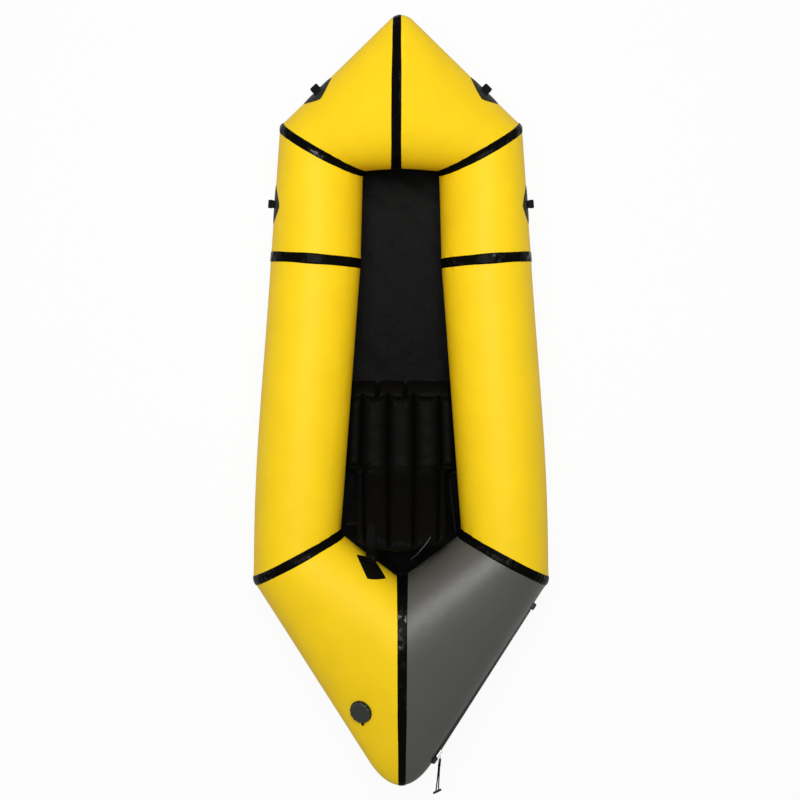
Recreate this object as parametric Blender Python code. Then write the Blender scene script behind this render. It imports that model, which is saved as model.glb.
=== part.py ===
"""A packraft: an inflated hull of eight panels with seam tapes, floor, inflatable seat, valve and zip.

The frame has +Y to the bow, +X to starboard, +Z up and its origin under the middle of the floor.
Lengths are in metres. The hull is drawn for the starboard half and mirrored to port.
"""

import math

import bmesh
import bpy
import numpy as np
from mathutils import Matrix, Vector
from mathutils.bvhtree import BVHTree

# Fabric thicknesses and clearances
GAP = 0.0003
HULL_WALL = 0.001
TAPE_THICKNESS = 0.0008
TAPE_WIDTH = 0.030
FLOOR_THICKNESS = 0.0018
WEBBING_WIDTH = 0.025
WEBBING_THICKNESS = 0.0015

# Seams of the starboard half, each as its inner and outer point in plan
SIDE_SEAM_INNER = (0.1215, 0.420)
SIDE_SEAM_OUTER = (0.389, 0.432)
STERN_CORNER_INNER = (0.181, -0.400)
STERN_CORNER_OUTER = (0.441, -0.540)
BOW_CORNER_INNER = (0.1155, 0.687)
BOW_CORNER_OUTER = (0.360, 0.822)
SIDE_TUBE_RADIUS = 0.134
BOW_CORNER_RADIUS = 0.130
BOW_CORNER_LEAN_DEG = 14.0

# Closing cuts of the tube at the bow and the stern, egg shaped in the centre plane
BOW_CUT_MIDDLE_Y = 0.895
BOW_CUT_MIDDLE_Z = 0.253
BOW_CUT_HALF_LENGTH = 0.218
BOW_CUT_HALF_HEIGHT = 0.140
BOW_CUT_TILT_DEG = 20.0
BOW_CUT_TAPER_SHARE = 0.35
BOW_NOSE_REACH = 0.018
BOW_NOSE_WIDTH = 0.030
STERN_CUT_MIDDLE_Y = -0.838
STERN_CUT_MIDDLE_Z = 0.167
STERN_CUT_HALF_LENGTH = 0.302
STERN_CUT_HALF_HEIGHT = 0.135
STERN_CUT_TILT_DEG = 5.0
STERN_CUT_TAPER_SHARE = 0.45
STERN_NOSE_REACH = 0.075
STERN_NOSE_WIDTH = 0.075

# Divisions of the hull
AROUND = 28
TOP = AROUND // 4
INNER = AROUND // 2
BOTTOM = 3 * AROUND // 4
FLOOR_WRAP = 3
SMALL_SIDES = 16
SEAT_RINGS = 4
SEAT_SPOKES = 24

# Tie-down patches and loops
PATCH_HALF_LENGTH = 0.0575
PATCH_HALF_HEIGHT = 0.050
PATCH_THICKNESS = 0.001
PATCH_ROUNDING = 1.35
PATCH_COLUMNS = 5
SEAT_ON_SKIN = 0.0006
DRAPE_REACH = 0.02
SIDE_PATCH_FROM_SEAM = 0.156
BOW_PATCH_FROM_SEAM = 0.160
PATCH_RIDGE = 1
LOOP_HEIGHT = 0.020
LOOP_OPENING = 0.018
LOOP_FOOT = 0.012
LOOP_LENGTH = 0.023
ARCH_STEPS = 8

# Seat
SEAT_FRONT_Y = 0.009
SEAT_HINGE_Y = -0.214
SEAT_THICKNESS = 0.060
SEAT_FRONT_HALF_WIDTH = 0.160
SEAT_REAR_HALF_WIDTH = 0.168
SEAT_LIP = 0.0012
HINGE_HALF_GAP = 0.0005
MIDDLE_CHAMBER_HALF_WIDTH = 0.0395
OUTER_WELD_X = 0.122
BACKREST_LENGTH = 0.317
BACKREST_ANGLE_DEG = 45.0
BACKREST_THICKNESS = 0.050
BACKREST_FOOT_HALF_WIDTH = 0.141
BACKREST_HEAD_HALF_WIDTH = 0.128
BACKREST_HEAD_DROP = 0.040
HINGE_TAPER = 0.055
HEAD_TAPER = 0.035
BASE_FLATNESS_SHARE = 0.85
OUTER_CHAMBER_SHARE = 0.96
CHAMBER_STEPS = 4
SKIRT_FRONT_Y = 0.058
SKIRT_HALF_WIDTH = 0.150
SKIRT_THICKNESS = 0.0012
SKIRT_FOLD = 0.003
SKIRT_FOLDS = 3
SKIRT_ROWS = 5
SKIRT_COLUMNS = 19

# Straps between the backrest and the stern
STRAP_SEWN_FROM_HEAD = 0.105
STRAP_HEAD_CLEARANCE = 0.003
STRAP_PATCH_FROM_SEAM = 0.113
STRAP_PATCH_RIDGE = 12
BUCKLE_LENGTH = 0.028
BUCKLE_CLEARANCE = 0.0005
BUCKLE_THICKNESS = 0.0042
BUCKLE_BAR = 0.0036
BUCKLE_WIDTH = WEBBING_WIDTH + 2 * (BUCKLE_BAR + BUCKLE_CLEARANCE)
BUCKLE_STAND_OFF = 0.032
ANCHOR_TURN = 2.3
ANCHOR_SLICES = 5

# Oral inflation tube on the starboard side tube
ORAL_FROM_SEAM = 0.186
ORAL_FACET = 15.5
ORAL_TUBE_RADIUS = 0.004
ORAL_BOOT_RADIUS = 0.012
ORAL_BOOT_THICKNESS = 0.002
ORAL_STUB_RADIUS = 0.0055
ORAL_STUB_LENGTH = 0.010
ORAL_BODY_RADIUS = 0.0055
ORAL_BODY_LENGTH = 0.020
ORAL_TIP_RADIUS = 0.0042
ORAL_TIP_LENGTH = 0.009
ORAL_WALL = 0.0018
ORAL_TUBE_POINTS = 26
ORAL_LEADS = (0.0004, 0.004, 0.008)
ORAL_ROUTE = [
    (0.1505, -0.2360, 0.0812),
    (0.1498, -0.2480, 0.0803),
    (0.1500, -0.2580, 0.0800),
    (0.1506, -0.2680, 0.0802),
    (0.1514, -0.2780, 0.0808),
    (0.1523, -0.2880, 0.0817),
    (0.1533, -0.2980, 0.0829),
    (0.1543, -0.3080, 0.0843),
    (0.1554, -0.3180, 0.0859),
    (0.1566, -0.3280, 0.0876),
    (0.1578, -0.3380, 0.0894),
    (0.1590, -0.3480, 0.0912),
    (0.1602, -0.3580, 0.0930),
    (0.1614, -0.3680, 0.0948),
]

# Seat valve on the port edge of the backrest
SEAT_VALVE_FROM_HINGE = 0.215
SEAT_VALVE_RADIUS = 0.006
SEAT_VALVE_LENGTH = 0.018
SEAT_VALVE_CAP_RADIUS = 0.0072
SEAT_VALVE_CAP_LENGTH = 0.011

# Main valve on the port stern panel
VALVE_FROM_SEAM = 0.190
VALVE_RIDGE = 3.7
VALVE_SIDES = 24
VALVE_FLANGE_RADIUS = 0.0345
VALVE_FLANGE_THICKNESS = 0.003
VALVE_BARREL_RADIUS = 0.024
VALVE_BARREL_WALL = 0.003
VALVE_BARREL_DEPTH = 0.034
VALVE_LEDGE_DEPTH = 0.014
VALVE_LEDGE_THICKNESS = 0.0025
VALVE_THROAT_RADIUS = 0.014
VALVE_GUIDE_RADIUS = 0.0034
VALVE_AIR_HOLE_RADIUS = 0.004
VALVE_STEM_RADIUS = 0.003
VALVE_BUTTON_RADIUS = 0.008
VALVE_BUTTON_THICKNESS = 0.003
VALVE_DISC_RADIUS = 0.017
VALVE_DISC_THICKNESS = 0.002
VALVE_SEAL_THICKNESS = 0.0015
VALVE_TRAVEL = 0.005
VALVE_SPRING_RADIUS = 0.007
VALVE_SPRING_WIRE = 0.0006
VALVE_SPRING_TURNS = 4
SPRING_STEPS = 12
VALVE_CAP_RADIUS = 0.0325
VALVE_CAP_THICKNESS = 0.006
VALVE_CAP_PLUG_DEPTH = 0.005
VALVE_CAP_PLUG_WALL = 0.002
VALVE_CAP_NOTCHES = 12
VALVE_CAP_NOTCH_DEPTH = 0.0022
VALVE_TETHER_THICKNESS = 0.0012
VALVE_TETHER_REACH = 0.044
VALVE_TETHER_WIDTH = 0.009
VALVE_TETHER_TURN_DEG = 150.0
VALVE_CLEARANCE = 0.0005

# Zip on the starboard stern panel
ZIP_START_FROM_SEAM = 0.078
ZIP_LENGTH = 0.560
ZIP_RIDGE = 0.5
ZIP_TAPE_HALF_WIDTH = 0.017
ZIP_TAPE_THICKNESS = 0.001
ZIP_CHAIN_WIDTH = 0.008
ZIP_CHAIN_HEIGHT = 0.0028
ZIP_TOOTH_PITCH = 0.010
ZIP_TAPE_ROWS = 13
ZIP_SAMPLES = 40
ZIP_VALLEY_SHARE = 0.6
ZIP_CREST_SHARE = 0.7
ZIP_END_LENGTH = 0.022
ZIP_END_WIDTH = 0.016
ZIP_END_HEIGHT = 0.008
SLIDER_LENGTH = 0.024
SLIDER_WALL = 0.002
SLIDER_CLEARANCE = 0.0006
BRIDGE_HEIGHT = 0.0055
BRIDGE_LENGTH = 0.012
BRIDGE_WIDTH = 0.005
BRIDGE_BAR = 0.0016
PULL_RING_WIRE = 0.0009
PULL_RING_LENGTH = 0.012
PULL_RING_WIDTH = 0.0095
PULL_ANGLE_DEG = 33.0
PULL_CORD_RADIUS = 0.0012
PULL_CORD_POINTS = 44
PULL_CORD_ROUTE = [
    (0.0720, -0.0270, 0.0024),
    (0.0630, -0.0218, 0.0027),
    (0.0530, -0.0165, 0.0030),
    (0.0430, -0.0117, 0.0032),
    (0.0340, -0.0079, 0.0033),
    (0.0250, -0.0047, 0.0033),
    (0.0170, -0.0024, 0.0032),
    (0.0100, -0.0009, 0.0030),
    (0.0045, -0.0002, 0.0028),
    (0.0010, 0.0000, 0.0026),
    (-0.0014, 0.0000, 0.0021),
    (-0.0025, 0.0000, 0.0000),
]
TOGGLE_LENGTH = 0.026
TOGGLE_RADIUS = 0.0026

# Heights of the stack under the hull
HULL_BOTTOM = FLOOR_THICKNESS + TAPE_THICKNESS + 2 * GAP
TAPE_OVER = GAP + TAPE_THICKNESS
FLOOR_UNDER = TAPE_OVER + GAP
FLOOR_OVER = FLOOR_UNDER + FLOOR_THICKNESS

YELLOW = ("hull_fabric_yellow", (1.0, 0.69, 0.01), 0.42, 0.0)
GREY = ("hull_fabric_grey", (0.11, 0.10, 0.09), 0.45, 0.0)
BLACK_TAPE = ("seam_tape_black", (0.012, 0.012, 0.012), 0.25, 0.0)
BLACK_FABRIC = ("fabric_black", (0.014, 0.013, 0.013), 0.5, 0.0)
BLACK_WEBBING = ("webbing_black", (0.01, 0.01, 0.01), 0.75, 0.0)
BLACK_PLASTIC = ("plastic_black", (0.02, 0.02, 0.02), 0.4, 0.0)
BLACK_RUBBER = ("rubber_black", (0.02, 0.02, 0.02), 0.6, 0.0)
CLEAR_HOSE = ("hose_black", (0.05, 0.05, 0.05), 0.35, 0.0)
PALE_METAL = ("slider_metal", (0.75, 0.74, 0.70), 0.3, 1.0)
SPRING_STEEL = ("spring_steel", (0.6, 0.6, 0.6), 0.3, 1.0)


def clear_scene():
    for obj in list(bpy.data.objects):
        bpy.data.objects.remove(obj, do_unlink=True)


def material(finish):
    name, colour, roughness, metallic = finish
    found = bpy.data.materials.get(name)
    if found:
        return found
    made = bpy.data.materials.new(name)
    made.use_nodes = True
    shader = made.node_tree.nodes["Principled BSDF"]
    shader.inputs["Base Color"].default_value = (*colour, 1.0)
    shader.inputs["Roughness"].default_value = roughness
    shader.inputs["Metallic"].default_value = metallic
    return made


def place(obj, frame, parent):
    """Links an object, at a frame in world space, below a parent if it has one."""
    bpy.context.collection.objects.link(obj)
    if parent:
        obj.parent = parent
        obj.matrix_parent_inverse = parent.matrix_world.inverted()
    obj.matrix_world = frame
    return obj


def add_mesh(name, points, faces, finish, frame=None, parent=None, smooth=True):
    """A closed mesh object with its faces turned out."""
    mesh = bpy.data.meshes.new(name)
    shape = bmesh.new()
    corners = [shape.verts.new(tuple(float(c) for c in point)) for point in points]
    for face in faces:
        shape.faces.new([corners[i] for i in face])
    bmesh.ops.remove_doubles(shape, verts=shape.verts, dist=GAP / 30)
    bmesh.ops.recalc_face_normals(shape, faces=shape.faces)
    shape.to_mesh(mesh)
    shape.free()
    mesh.materials.append(material(finish))
    if smooth:
        mesh.shade_smooth()
        mesh.set_sharp_from_angle(angle=math.radians(35))
    obj = bpy.data.objects.new(name, mesh)
    return place(obj, frame or Matrix.Identity(4), parent)


def rising(row, column):
    return False


def grid_faces(rows, columns, wrap_rows, wrap_columns, falls=rising):
    """Triangles of a grid of points, numbered row by row, each square split the way falls says."""
    last_row = rows if wrap_rows else rows - 1
    last_column = columns if wrap_columns else columns - 1
    faces = []
    for i in range(last_row):
        for j in range(last_column):
            a = i * columns + j
            b = i * columns + (j + 1) % columns
            c = (i + 1) % rows * columns + (j + 1) % columns
            d = (i + 1) % rows * columns + j
            if falls(i, j):
                faces += [(a, b, d), (b, c, d)]
            else:
                faces += [(a, b, c), (a, c, d)]
    return faces


def add_skin(name, under, over, finish, wrap_rows=False, wrap_columns=False, folded=False,
             falls=rising, **placing):
    """A thin solid between two grids of points, closed along its free edges.

    The end rows of a folded skin run out to a fold and back, so they close on themselves.
    """
    under = np.asarray(under, float)
    over = np.asarray(over, float)
    rows, columns = under.shape[:2]
    count = rows * columns
    points = np.concatenate([under.reshape(-1, 3), over.reshape(-1, 3)])
    near = grid_faces(rows, columns, wrap_rows, wrap_columns, falls)
    faces = [tuple(reversed(face)) for face in near]
    faces += [tuple(i + count for i in face) for face in near]
    edges = []
    if not wrap_rows and not folded:
        steps = range(columns if wrap_columns else columns - 1)
        edges += [(j, (j + 1) % columns) for j in steps]
        last = (rows - 1) * columns
        edges += [(last + (j + 1) % columns, last + j) for j in steps]
    if not wrap_columns:
        steps = range(rows if wrap_rows else rows - 1)
        edges += [((i + 1) % rows * columns, i * columns) for i in steps]
        right = columns - 1
        edges += [(i * columns + right, (i + 1) % rows * columns + right) for i in steps]
    faces += [(a, b, b + count, a + count) for a, b in edges]
    return add_mesh(name, points, faces, finish, **placing)


def add_turned(name, profile, sides, finish, notches=0, notch_depth=0.0, notch_from=0.0, **placing):
    """A profile of (radius, height) points turned about local Z, closed on itself or at the axis."""
    on_axis = profile[0][0] == 0.0 and profile[-1][0] == 0.0
    rows = []
    for radius, height in profile:
        ring = []
        for j in range(sides):
            angle = 2 * math.pi * j / sides
            cut = notches and radius > notch_from and j % (sides // notches) == 0
            reach = radius - (notch_depth if cut else 0.0)
            ring.append((reach * math.cos(angle), reach * math.sin(angle), height))
        rows.append(ring)
    points = [point for ring in rows for point in ring]
    quads = grid_faces(len(rows), sides, not on_axis, True)
    faces = []
    for face in quads:
        distinct = []
        for i in face:
            pole = profile[i // sides][0] == 0.0
            key = i // sides * sides if pole else i
            if key not in distinct:
                distinct.append(key)
        if len(distinct) > 2:
            faces.append(tuple(distinct))
    used = sorted({i for face in faces for i in face})
    index = {old: new for new, old in enumerate(used)}
    faces = [tuple(index[i] for i in face) for face in faces]
    return add_mesh(name, [points[i] for i in used], faces, finish, **placing)


def add_prism(name, outline, start, end, finish, **placing):
    """An outline in the local XY plane, given depth along local Z."""
    count = len(outline)
    points = [(x, y, start) for x, y in outline] + [(x, y, end) for x, y in outline]
    faces = [tuple(reversed(range(count))), tuple(range(count, 2 * count))]
    faces += [(i, (i + 1) % count, (i + 1) % count + count, i + count) for i in range(count)]
    return add_mesh(name, points, faces, finish, smooth=False, **placing)


def add_tube(name, route, radius, finish, resolution=2, closed=False, **placing):
    """A round tube along a list of points."""
    curve = bpy.data.curves.new(name, "CURVE")
    curve.dimensions = "3D"
    curve.bevel_depth = radius
    curve.bevel_resolution = resolution
    curve.use_fill_caps = not closed
    spline = curve.splines.new("POLY")
    spline.points.add(len(route) - 1)
    for point, place_at in zip(spline.points, route):
        point.co = (*place_at, 1.0)
    spline.use_cyclic_u = closed
    curve.materials.append(material(finish))
    obj = bpy.data.objects.new(name, curve)
    return place(obj, placing.get("frame", Matrix.Identity(4)), placing.get("parent"))


def combine(obj, other, operation, solver="EXACT"):
    """Applies a Boolean of one object on another and removes the tool."""
    modifier = obj.modifiers.new("combine", "BOOLEAN")
    modifier.operation = operation
    modifier.solver = solver
    modifier.object = other
    bpy.context.view_layer.update()
    graph = bpy.context.evaluated_depsgraph_get()
    made = bpy.data.meshes.new_from_object(obj.evaluated_get(graph), depsgraph=graph)
    obj.modifiers.clear()
    obj.data = made
    bpy.data.objects.remove(other, do_unlink=True)
    return obj


def smooth_route(points, count):
    """Evenly spaced points on a smooth curve through the given ones."""
    given = np.asarray(points, float)
    steps = np.linalg.norm(np.diff(given, axis=0), axis=1)
    knots = np.concatenate([[0.0], np.cumsum(np.sqrt(steps))])
    slopes = np.gradient(given, knots, axis=0)
    fine = np.linspace(0.0, knots[-1], 20 * count)
    spans = np.clip(np.searchsorted(knots, fine, side="right") - 1, 0, len(knots) - 2)
    width = np.diff(knots)[spans]
    u = ((fine - knots[spans]) / width)[:, None]
    w = width[:, None]
    curve = (
        (2 * u**3 - 3 * u**2 + 1) * given[spans]
        + (u**3 - 2 * u**2 + u) * w * slopes[spans]
        + (3 * u**2 - 2 * u**3) * given[spans + 1]
        + (u**3 - u**2) * w * slopes[spans + 1]
    )
    run = np.concatenate([[0.0], np.cumsum(np.linalg.norm(np.diff(curve, axis=0), axis=1))])
    wanted = np.linspace(0.0, run[-1], count)
    return np.stack([np.interp(wanted, run, curve[:, axis]) for axis in range(3)], axis=1)


def strip_outline(path, thickness, below=0.0):
    """The outline of a strip of even thickness, lying on the left of a path in a plane.

    Some of its thickness may lie below the path, on the right.
    """
    line = np.asarray(path, float)
    along = np.diff(line, axis=0)
    along /= np.linalg.norm(along, axis=1)[:, None]
    normals = np.stack([-along[:, 1], along[:, 0]], axis=1)
    first = np.concatenate([normals[:1], normals])
    second = np.concatenate([normals, normals[-1:]])
    spread = (first + second) / (1 + (first * second).sum(axis=1, keepdims=True))
    near = line - below * spread
    far = line + (thickness - below) * spread
    return [tuple(p) for p in near] + [tuple(p) for p in far[::-1]]


def unit(vector):
    return vector / np.linalg.norm(vector, axis=-1, keepdims=True)


def frame_at(origin, along, normal):
    """A frame with local X near the first direction and local Z on the second."""
    z_axis = unit(np.asarray(normal, float))
    x_axis = np.asarray(along, float)
    x_axis = unit(x_axis - z_axis * (x_axis @ z_axis))
    y_axis = np.cross(z_axis, x_axis)
    frame = Matrix.Identity(4)
    for column, axis in enumerate((x_axis, y_axis, z_axis, np.asarray(origin, float))):
        for row in range(3):
            frame[row][column] = float(axis[row])
    return frame


def mirrored(points):
    return np.asarray(points, float) * np.array([-1.0, 1.0, 1.0])


def angles():
    return 2 * np.pi * np.arange(AROUND) / AROUND


def tube_cut(inner, outer, half_height, lean_deg):
    """The seam where two straight tubes meet: an ellipse, leaning aft at its top."""
    inner = np.array([*inner, 0.0])
    outer = np.array([*outer, 0.0])
    half = (outer - inner) / 2
    across = unit(half)
    aft = np.array([across[1], -across[0], 0.0])
    up = np.array([0.0, 0.0, 1.0]) + math.tan(math.radians(lean_deg)) * aft
    middle = (inner + outer) / 2 + np.array([0.0, 0.0, HULL_BOTTOM + half_height])
    turn = angles()[:, None]
    return middle + np.cos(turn) * half + half_height * np.sin(turn) * up


def closing_cut(middle_y, middle_z, half_length, half_height, tilt_deg, taper, end, reach):
    """The seam in the centre plane: an egg whose small end points to the bow (+1) or stern (-1).

    With a reach, its small end is drawn out to where the straight panels would meet.
    """
    tilt = math.radians(tilt_deg)
    out = np.array([0.0, end * math.cos(tilt), math.sin(tilt)])
    up = np.array([0.0, -end * math.sin(tilt), math.cos(tilt)])
    turn = angles()[:, None]
    cosine = np.cos(turn)
    middle = np.array([0.0, middle_y, middle_z])
    swell = half_height * (1 - taper * cosine) * np.sin(turn)
    return middle + half_length * cosine * out + swell * up + reach * np.clip(cosine, 0, 1) ** 2 * out


def ring_tangents(ring):
    return np.roll(ring, -1, axis=0) - np.roll(ring, 1, axis=0)


class Panel:
    """One panel of the hull: straight lines between two seams, blunted towards a nose."""

    def __init__(self, start, end, nose=None, nose_width=0.0, nose_at_end=False):
        self.start = start
        self.end = end
        self.nose = nose
        self.nose_width = nose_width
        self.nose_at_end = nose_at_end

    def lengths(self):
        return np.linalg.norm(self.end - self.start, axis=1)

    def normals(self, share):
        """Outward unit normals along the row at this share of the panel."""
        step = 1e-4
        low = min(share, 1 - step)
        forward = self.row(low + step) - self.row(low)
        return unit(np.cross(forward, ring_tangents(self.row(share))))

    def row(self, share):
        """Points round the tube at a share of the panel, or at one share for each line."""
        share = np.broadcast_to(np.asarray(share, float), (AROUND,))[:, None]
        points = self.start + (self.end - self.start) * share
        if self.nose is None:
            return points
        corner = self.end if self.nose_at_end else self.start
        other = self.start if self.nose_at_end else self.end
        near = (1 - share) if self.nose_at_end else share
        reach = np.linalg.norm(self.nose - corner, axis=1)[:, None]
        spread = np.abs(other[:, :1] - corner[:, :1])
        blunt = self.nose_width / np.maximum(spread, self.nose_width)
        fall = np.abs(other[:, 1:2] - corner[:, 1:2])
        power = np.maximum(blunt * fall / np.maximum(reach, GAP), 1.0)
        left = np.clip(1 - near / blunt, 0, 1) ** np.minimum(power, 4.0)
        return points + (self.nose - corner) * left


def meeting_offset(first, second):
    """The offset that keeps unit distance from two faces with these normals."""
    return (first + second) / (1 + (first * second).sum(axis=1, keepdims=True))


def plane_offset(ring, normals):
    """The offset within the centre plane that keeps unit distance from the panel."""
    tangents = ring_tangents(ring)
    in_plane = unit(np.stack([np.zeros(len(ring)), tangents[:, 2], -tangents[:, 1]], axis=1))
    lean = (in_plane * normals).sum(axis=1, keepdims=True)
    return in_plane / lean


class Hull:
    """The starboard half of the hull's skin, or a surface at an even distance outside it."""

    def __init__(self):
        self.stern_point = self.closing("STERN", True)
        self.stern_nose = self.closing("STERN", False)
        self.stern_corner = tube_cut(STERN_CORNER_INNER, STERN_CORNER_OUTER, SIDE_TUBE_RADIUS, 0.0)
        self.side_seam = tube_cut(SIDE_SEAM_INNER, SIDE_SEAM_OUTER, SIDE_TUBE_RADIUS, 0.0)
        self.bow_corner = tube_cut(
            BOW_CORNER_INNER, BOW_CORNER_OUTER, BOW_CORNER_RADIUS, BOW_CORNER_LEAN_DEG
        )
        self.bow_point = self.closing("BOW", True)
        self.bow_nose = self.closing("BOW", False)
        self.skins = {0.0: self.make_panels(0.0)}

    @staticmethod
    def closing(which, drawn_out):
        if which == "BOW":
            return closing_cut(
                BOW_CUT_MIDDLE_Y, BOW_CUT_MIDDLE_Z, BOW_CUT_HALF_LENGTH, BOW_CUT_HALF_HEIGHT,
                BOW_CUT_TILT_DEG, BOW_CUT_TAPER_SHARE, 1, BOW_NOSE_REACH if drawn_out else 0.0,
            )
        return closing_cut(
            STERN_CUT_MIDDLE_Y, STERN_CUT_MIDDLE_Z, STERN_CUT_HALF_LENGTH, STERN_CUT_HALF_HEIGHT,
            STERN_CUT_TILT_DEG, STERN_CUT_TAPER_SHARE, -1, STERN_NOSE_REACH if drawn_out else 0.0,
        )

    def make_panels(self, offset):
        """The four panels at an offset outside the skin."""
        rings = [
            self.stern_point, self.stern_corner, self.side_seam, self.bow_corner, self.bow_point,
        ]
        noses = [self.stern_nose, self.bow_nose]
        if offset:
            base = self.skins[0.0]
            stern, side, fore, bow = (base[key] for key in ("stern", "side", "fore", "bow"))
            plain_stern = Panel(self.stern_point, self.stern_corner)
            plain_bow = Panel(self.bow_corner, self.bow_point)
            moves = [
                plane_offset(self.stern_point, plain_stern.normals(0.0)),
                meeting_offset(stern.normals(1.0), side.normals(0.0)),
                meeting_offset(side.normals(1.0), fore.normals(0.0)),
                meeting_offset(fore.normals(1.0), bow.normals(0.0)),
                plane_offset(self.bow_point, plain_bow.normals(1.0)),
            ]
            rings = [ring + offset * move for ring, move in zip(rings, moves)]
            noses = [
                self.stern_nose + offset * plane_offset(self.stern_nose, stern.normals(0.0)),
                self.bow_nose + offset * plane_offset(self.bow_nose, bow.normals(1.0)),
            ]
        return {
            "stern": Panel(rings[0], rings[1], noses[0], STERN_NOSE_WIDTH, False),
            "side": Panel(rings[1], rings[2]),
            "fore": Panel(rings[2], rings[3]),
            "bow": Panel(rings[3], rings[4], noses[1], BOW_NOSE_WIDTH, True),
        }

    def panel(self, which, offset=0.0):
        if offset not in self.skins:
            self.skins[offset] = self.make_panels(offset)
        return self.skins[offset][which]

    def row(self, which, share, offset=0.0):
        return self.panel(which, offset).row(share)

    def point(self, which, share, ridge, offset=0.0):
        """A point of the skin at a share of a panel and a count of ridges, whole or not."""
        row = self.row(which, share, offset)
        low = math.floor(ridge)
        part = ridge - low
        return row[low % AROUND] * (1 - part) + row[(low + 1) % AROUND] * part

    def share_at(self, which, ridge, distance):
        """The share of a panel at this distance from its start, along one line."""
        start = self.point(which, 0.0, ridge)
        return distance / np.linalg.norm(self.point(which, 1.0, ridge) - start)

    def ridge_step(self, which, share, ridge):
        """The distance round the tube from one ridge to the next."""
        low = math.floor(ridge)
        return np.linalg.norm(self.point(which, share, low + 1) - self.point(which, share, low))

    def frame(self, which, share, ridge, offset=0.0):
        """A frame on the flat facet at a point: X along the panel, Z out of the hull."""
        low = math.floor(ridge)
        row = self.row(which, share, offset)
        across = row[(low + 1) % AROUND] - row[low % AROUND]
        if ridge == low:
            across = row[(low + 1) % AROUND] - row[(low - 1) % AROUND]
        step = 1e-3
        along = self.point(which, share + step, ridge) - self.point(which, share - step, ridge)
        normal = np.cross(along, across)
        return frame_at(self.point(which, share, ridge, offset), along, normal)


def panel_shares(hull, which):
    """The rows of a panel: its free edges, the edges of the seam tapes and those its form needs."""
    lengths = hull.panel(which).lengths()
    edge = GAP / 2 / lengths
    tape = TAPE_WIDTH / 2 / lengths
    stern_blunt = STERN_NOSE_WIDTH / STERN_CORNER_OUTER[0]
    bow_blunt = BOW_NOSE_WIDTH / BOW_CORNER_OUTER[0]
    middle = {
        "stern": [stern_blunt / 2, stern_blunt, (1 + stern_blunt) / 2],
        "side": [1 / 3, 2 / 3],
        "fore": [1 / 2],
        "bow": [1 / 2, 1 - bow_blunt],
    }[which]
    rows = [edge, tape]
    rows += [np.full(AROUND, share) for share in middle]
    rows += [1 - tape, 1 - edge]
    return rows


def make_panel(hull, which, name, side, finish):
    shares = panel_shares(hull, which)
    over = np.array([hull.row(which, share) for share in shares])
    under = np.array([hull.row(which, share, -HULL_WALL) for share in shares])
    if side < 0:
        over, under = mirrored(over), mirrored(under)
    return add_skin(name, under, over, finish, wrap_columns=True)


def make_panels(hull):
    for side, word in ((-1, "left"), (1, "right")):
        stern_finish = YELLOW if side < 0 else GREY
        make_panel(hull, "stern", f"stern_panel_{word}", side, stern_finish)
        make_panel(hull, "side", f"side_panel_{word}", side, YELLOW)
        make_panel(hull, "fore", f"fore_panel_{word}", side, YELLOW)
        make_panel(hull, "bow", f"bow_panel_{word}", side, YELLOW)


def tape_rows(hull, before, after, offset):
    """Three rows of a seam tape: an edge on the panel before, the seam, an edge on the one after."""
    low = 1 - TAPE_WIDTH / 2 / hull.panel(before).lengths()
    high = TAPE_WIDTH / 2 / hull.panel(after).lengths()
    return np.array([
        hull.row(before, low, offset),
        hull.row(after, 0.0, offset),
        hull.row(after, high, offset),
    ])


def centre_tape_rows(hull, which, offset):
    """Three rows of a tape over a seam in the centre plane."""
    reach = TAPE_WIDTH / 2 / hull.panel(which).lengths()
    at_seam = 1.0 if which == "bow" else 0.0
    side = hull.row(which, 1 - reach if which == "bow" else reach, offset)
    return np.array([mirrored(side), hull.row(which, at_seam, offset), side])


def make_tapes(hull):
    seams = {
        "stern_corner_tape": ("stern", "side"),
        "side_tape": ("side", "fore"),
        "bow_corner_tape": ("fore", "bow"),
    }
    for name, (before, after) in seams.items():
        under = tape_rows(hull, before, after, GAP)
        over = tape_rows(hull, before, after, TAPE_OVER)
        add_skin(f"{name}_right", under, over, BLACK_TAPE, wrap_columns=True)
        add_skin(f"{name}_left", mirrored(under), mirrored(over), BLACK_TAPE, wrap_columns=True)
    for which, falling_row in (("stern", 0), ("bow", 1)):
        under = centre_tape_rows(hull, which, GAP)
        over = centre_tape_rows(hull, which, TAPE_OVER)
        falls = lambda row, column, falling=falling_row: row == falling
        add_skin(f"{which}_centre_tape", under, over, BLACK_TAPE, wrap_columns=True, falls=falls)


def hull_rows(hull, offset):
    """All rows of the starboard half from the stern seam to the bow seam, at an offset."""
    rows = [hull.row("stern", 0.0, offset)]
    for which in ("stern", "side", "fore", "bow"):
        rows += [hull.row(which, share, offset) for share in panel_shares(hull, which)[1:-1]]
        rows.append(hull.row(which, 1.0, offset))
    return np.array(rows)


def make_floor(hull):
    """The floor: flat between the lowest lines of the tubes and wrapped up their outer sides."""
    columns = list(range(BOTTOM + FLOOR_WRAP, BOTTOM - FLOOR_WRAP - 1, -1))
    grids = []
    for offset in (FLOOR_UNDER, FLOOR_OVER):
        right = hull_rows(hull, offset)[:, columns]
        right[..., 2] = np.minimum.accumulate(right[..., 2], axis=1)
        left = mirrored(right)[:, ::-1]
        grids.append(np.concatenate([right, left], axis=1))
    half = len(columns)
    add_skin("floor_sheet", grids[0], grids[1], BLACK_FABRIC, folded=True,
             falls=lambda row, column: column < half)


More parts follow.
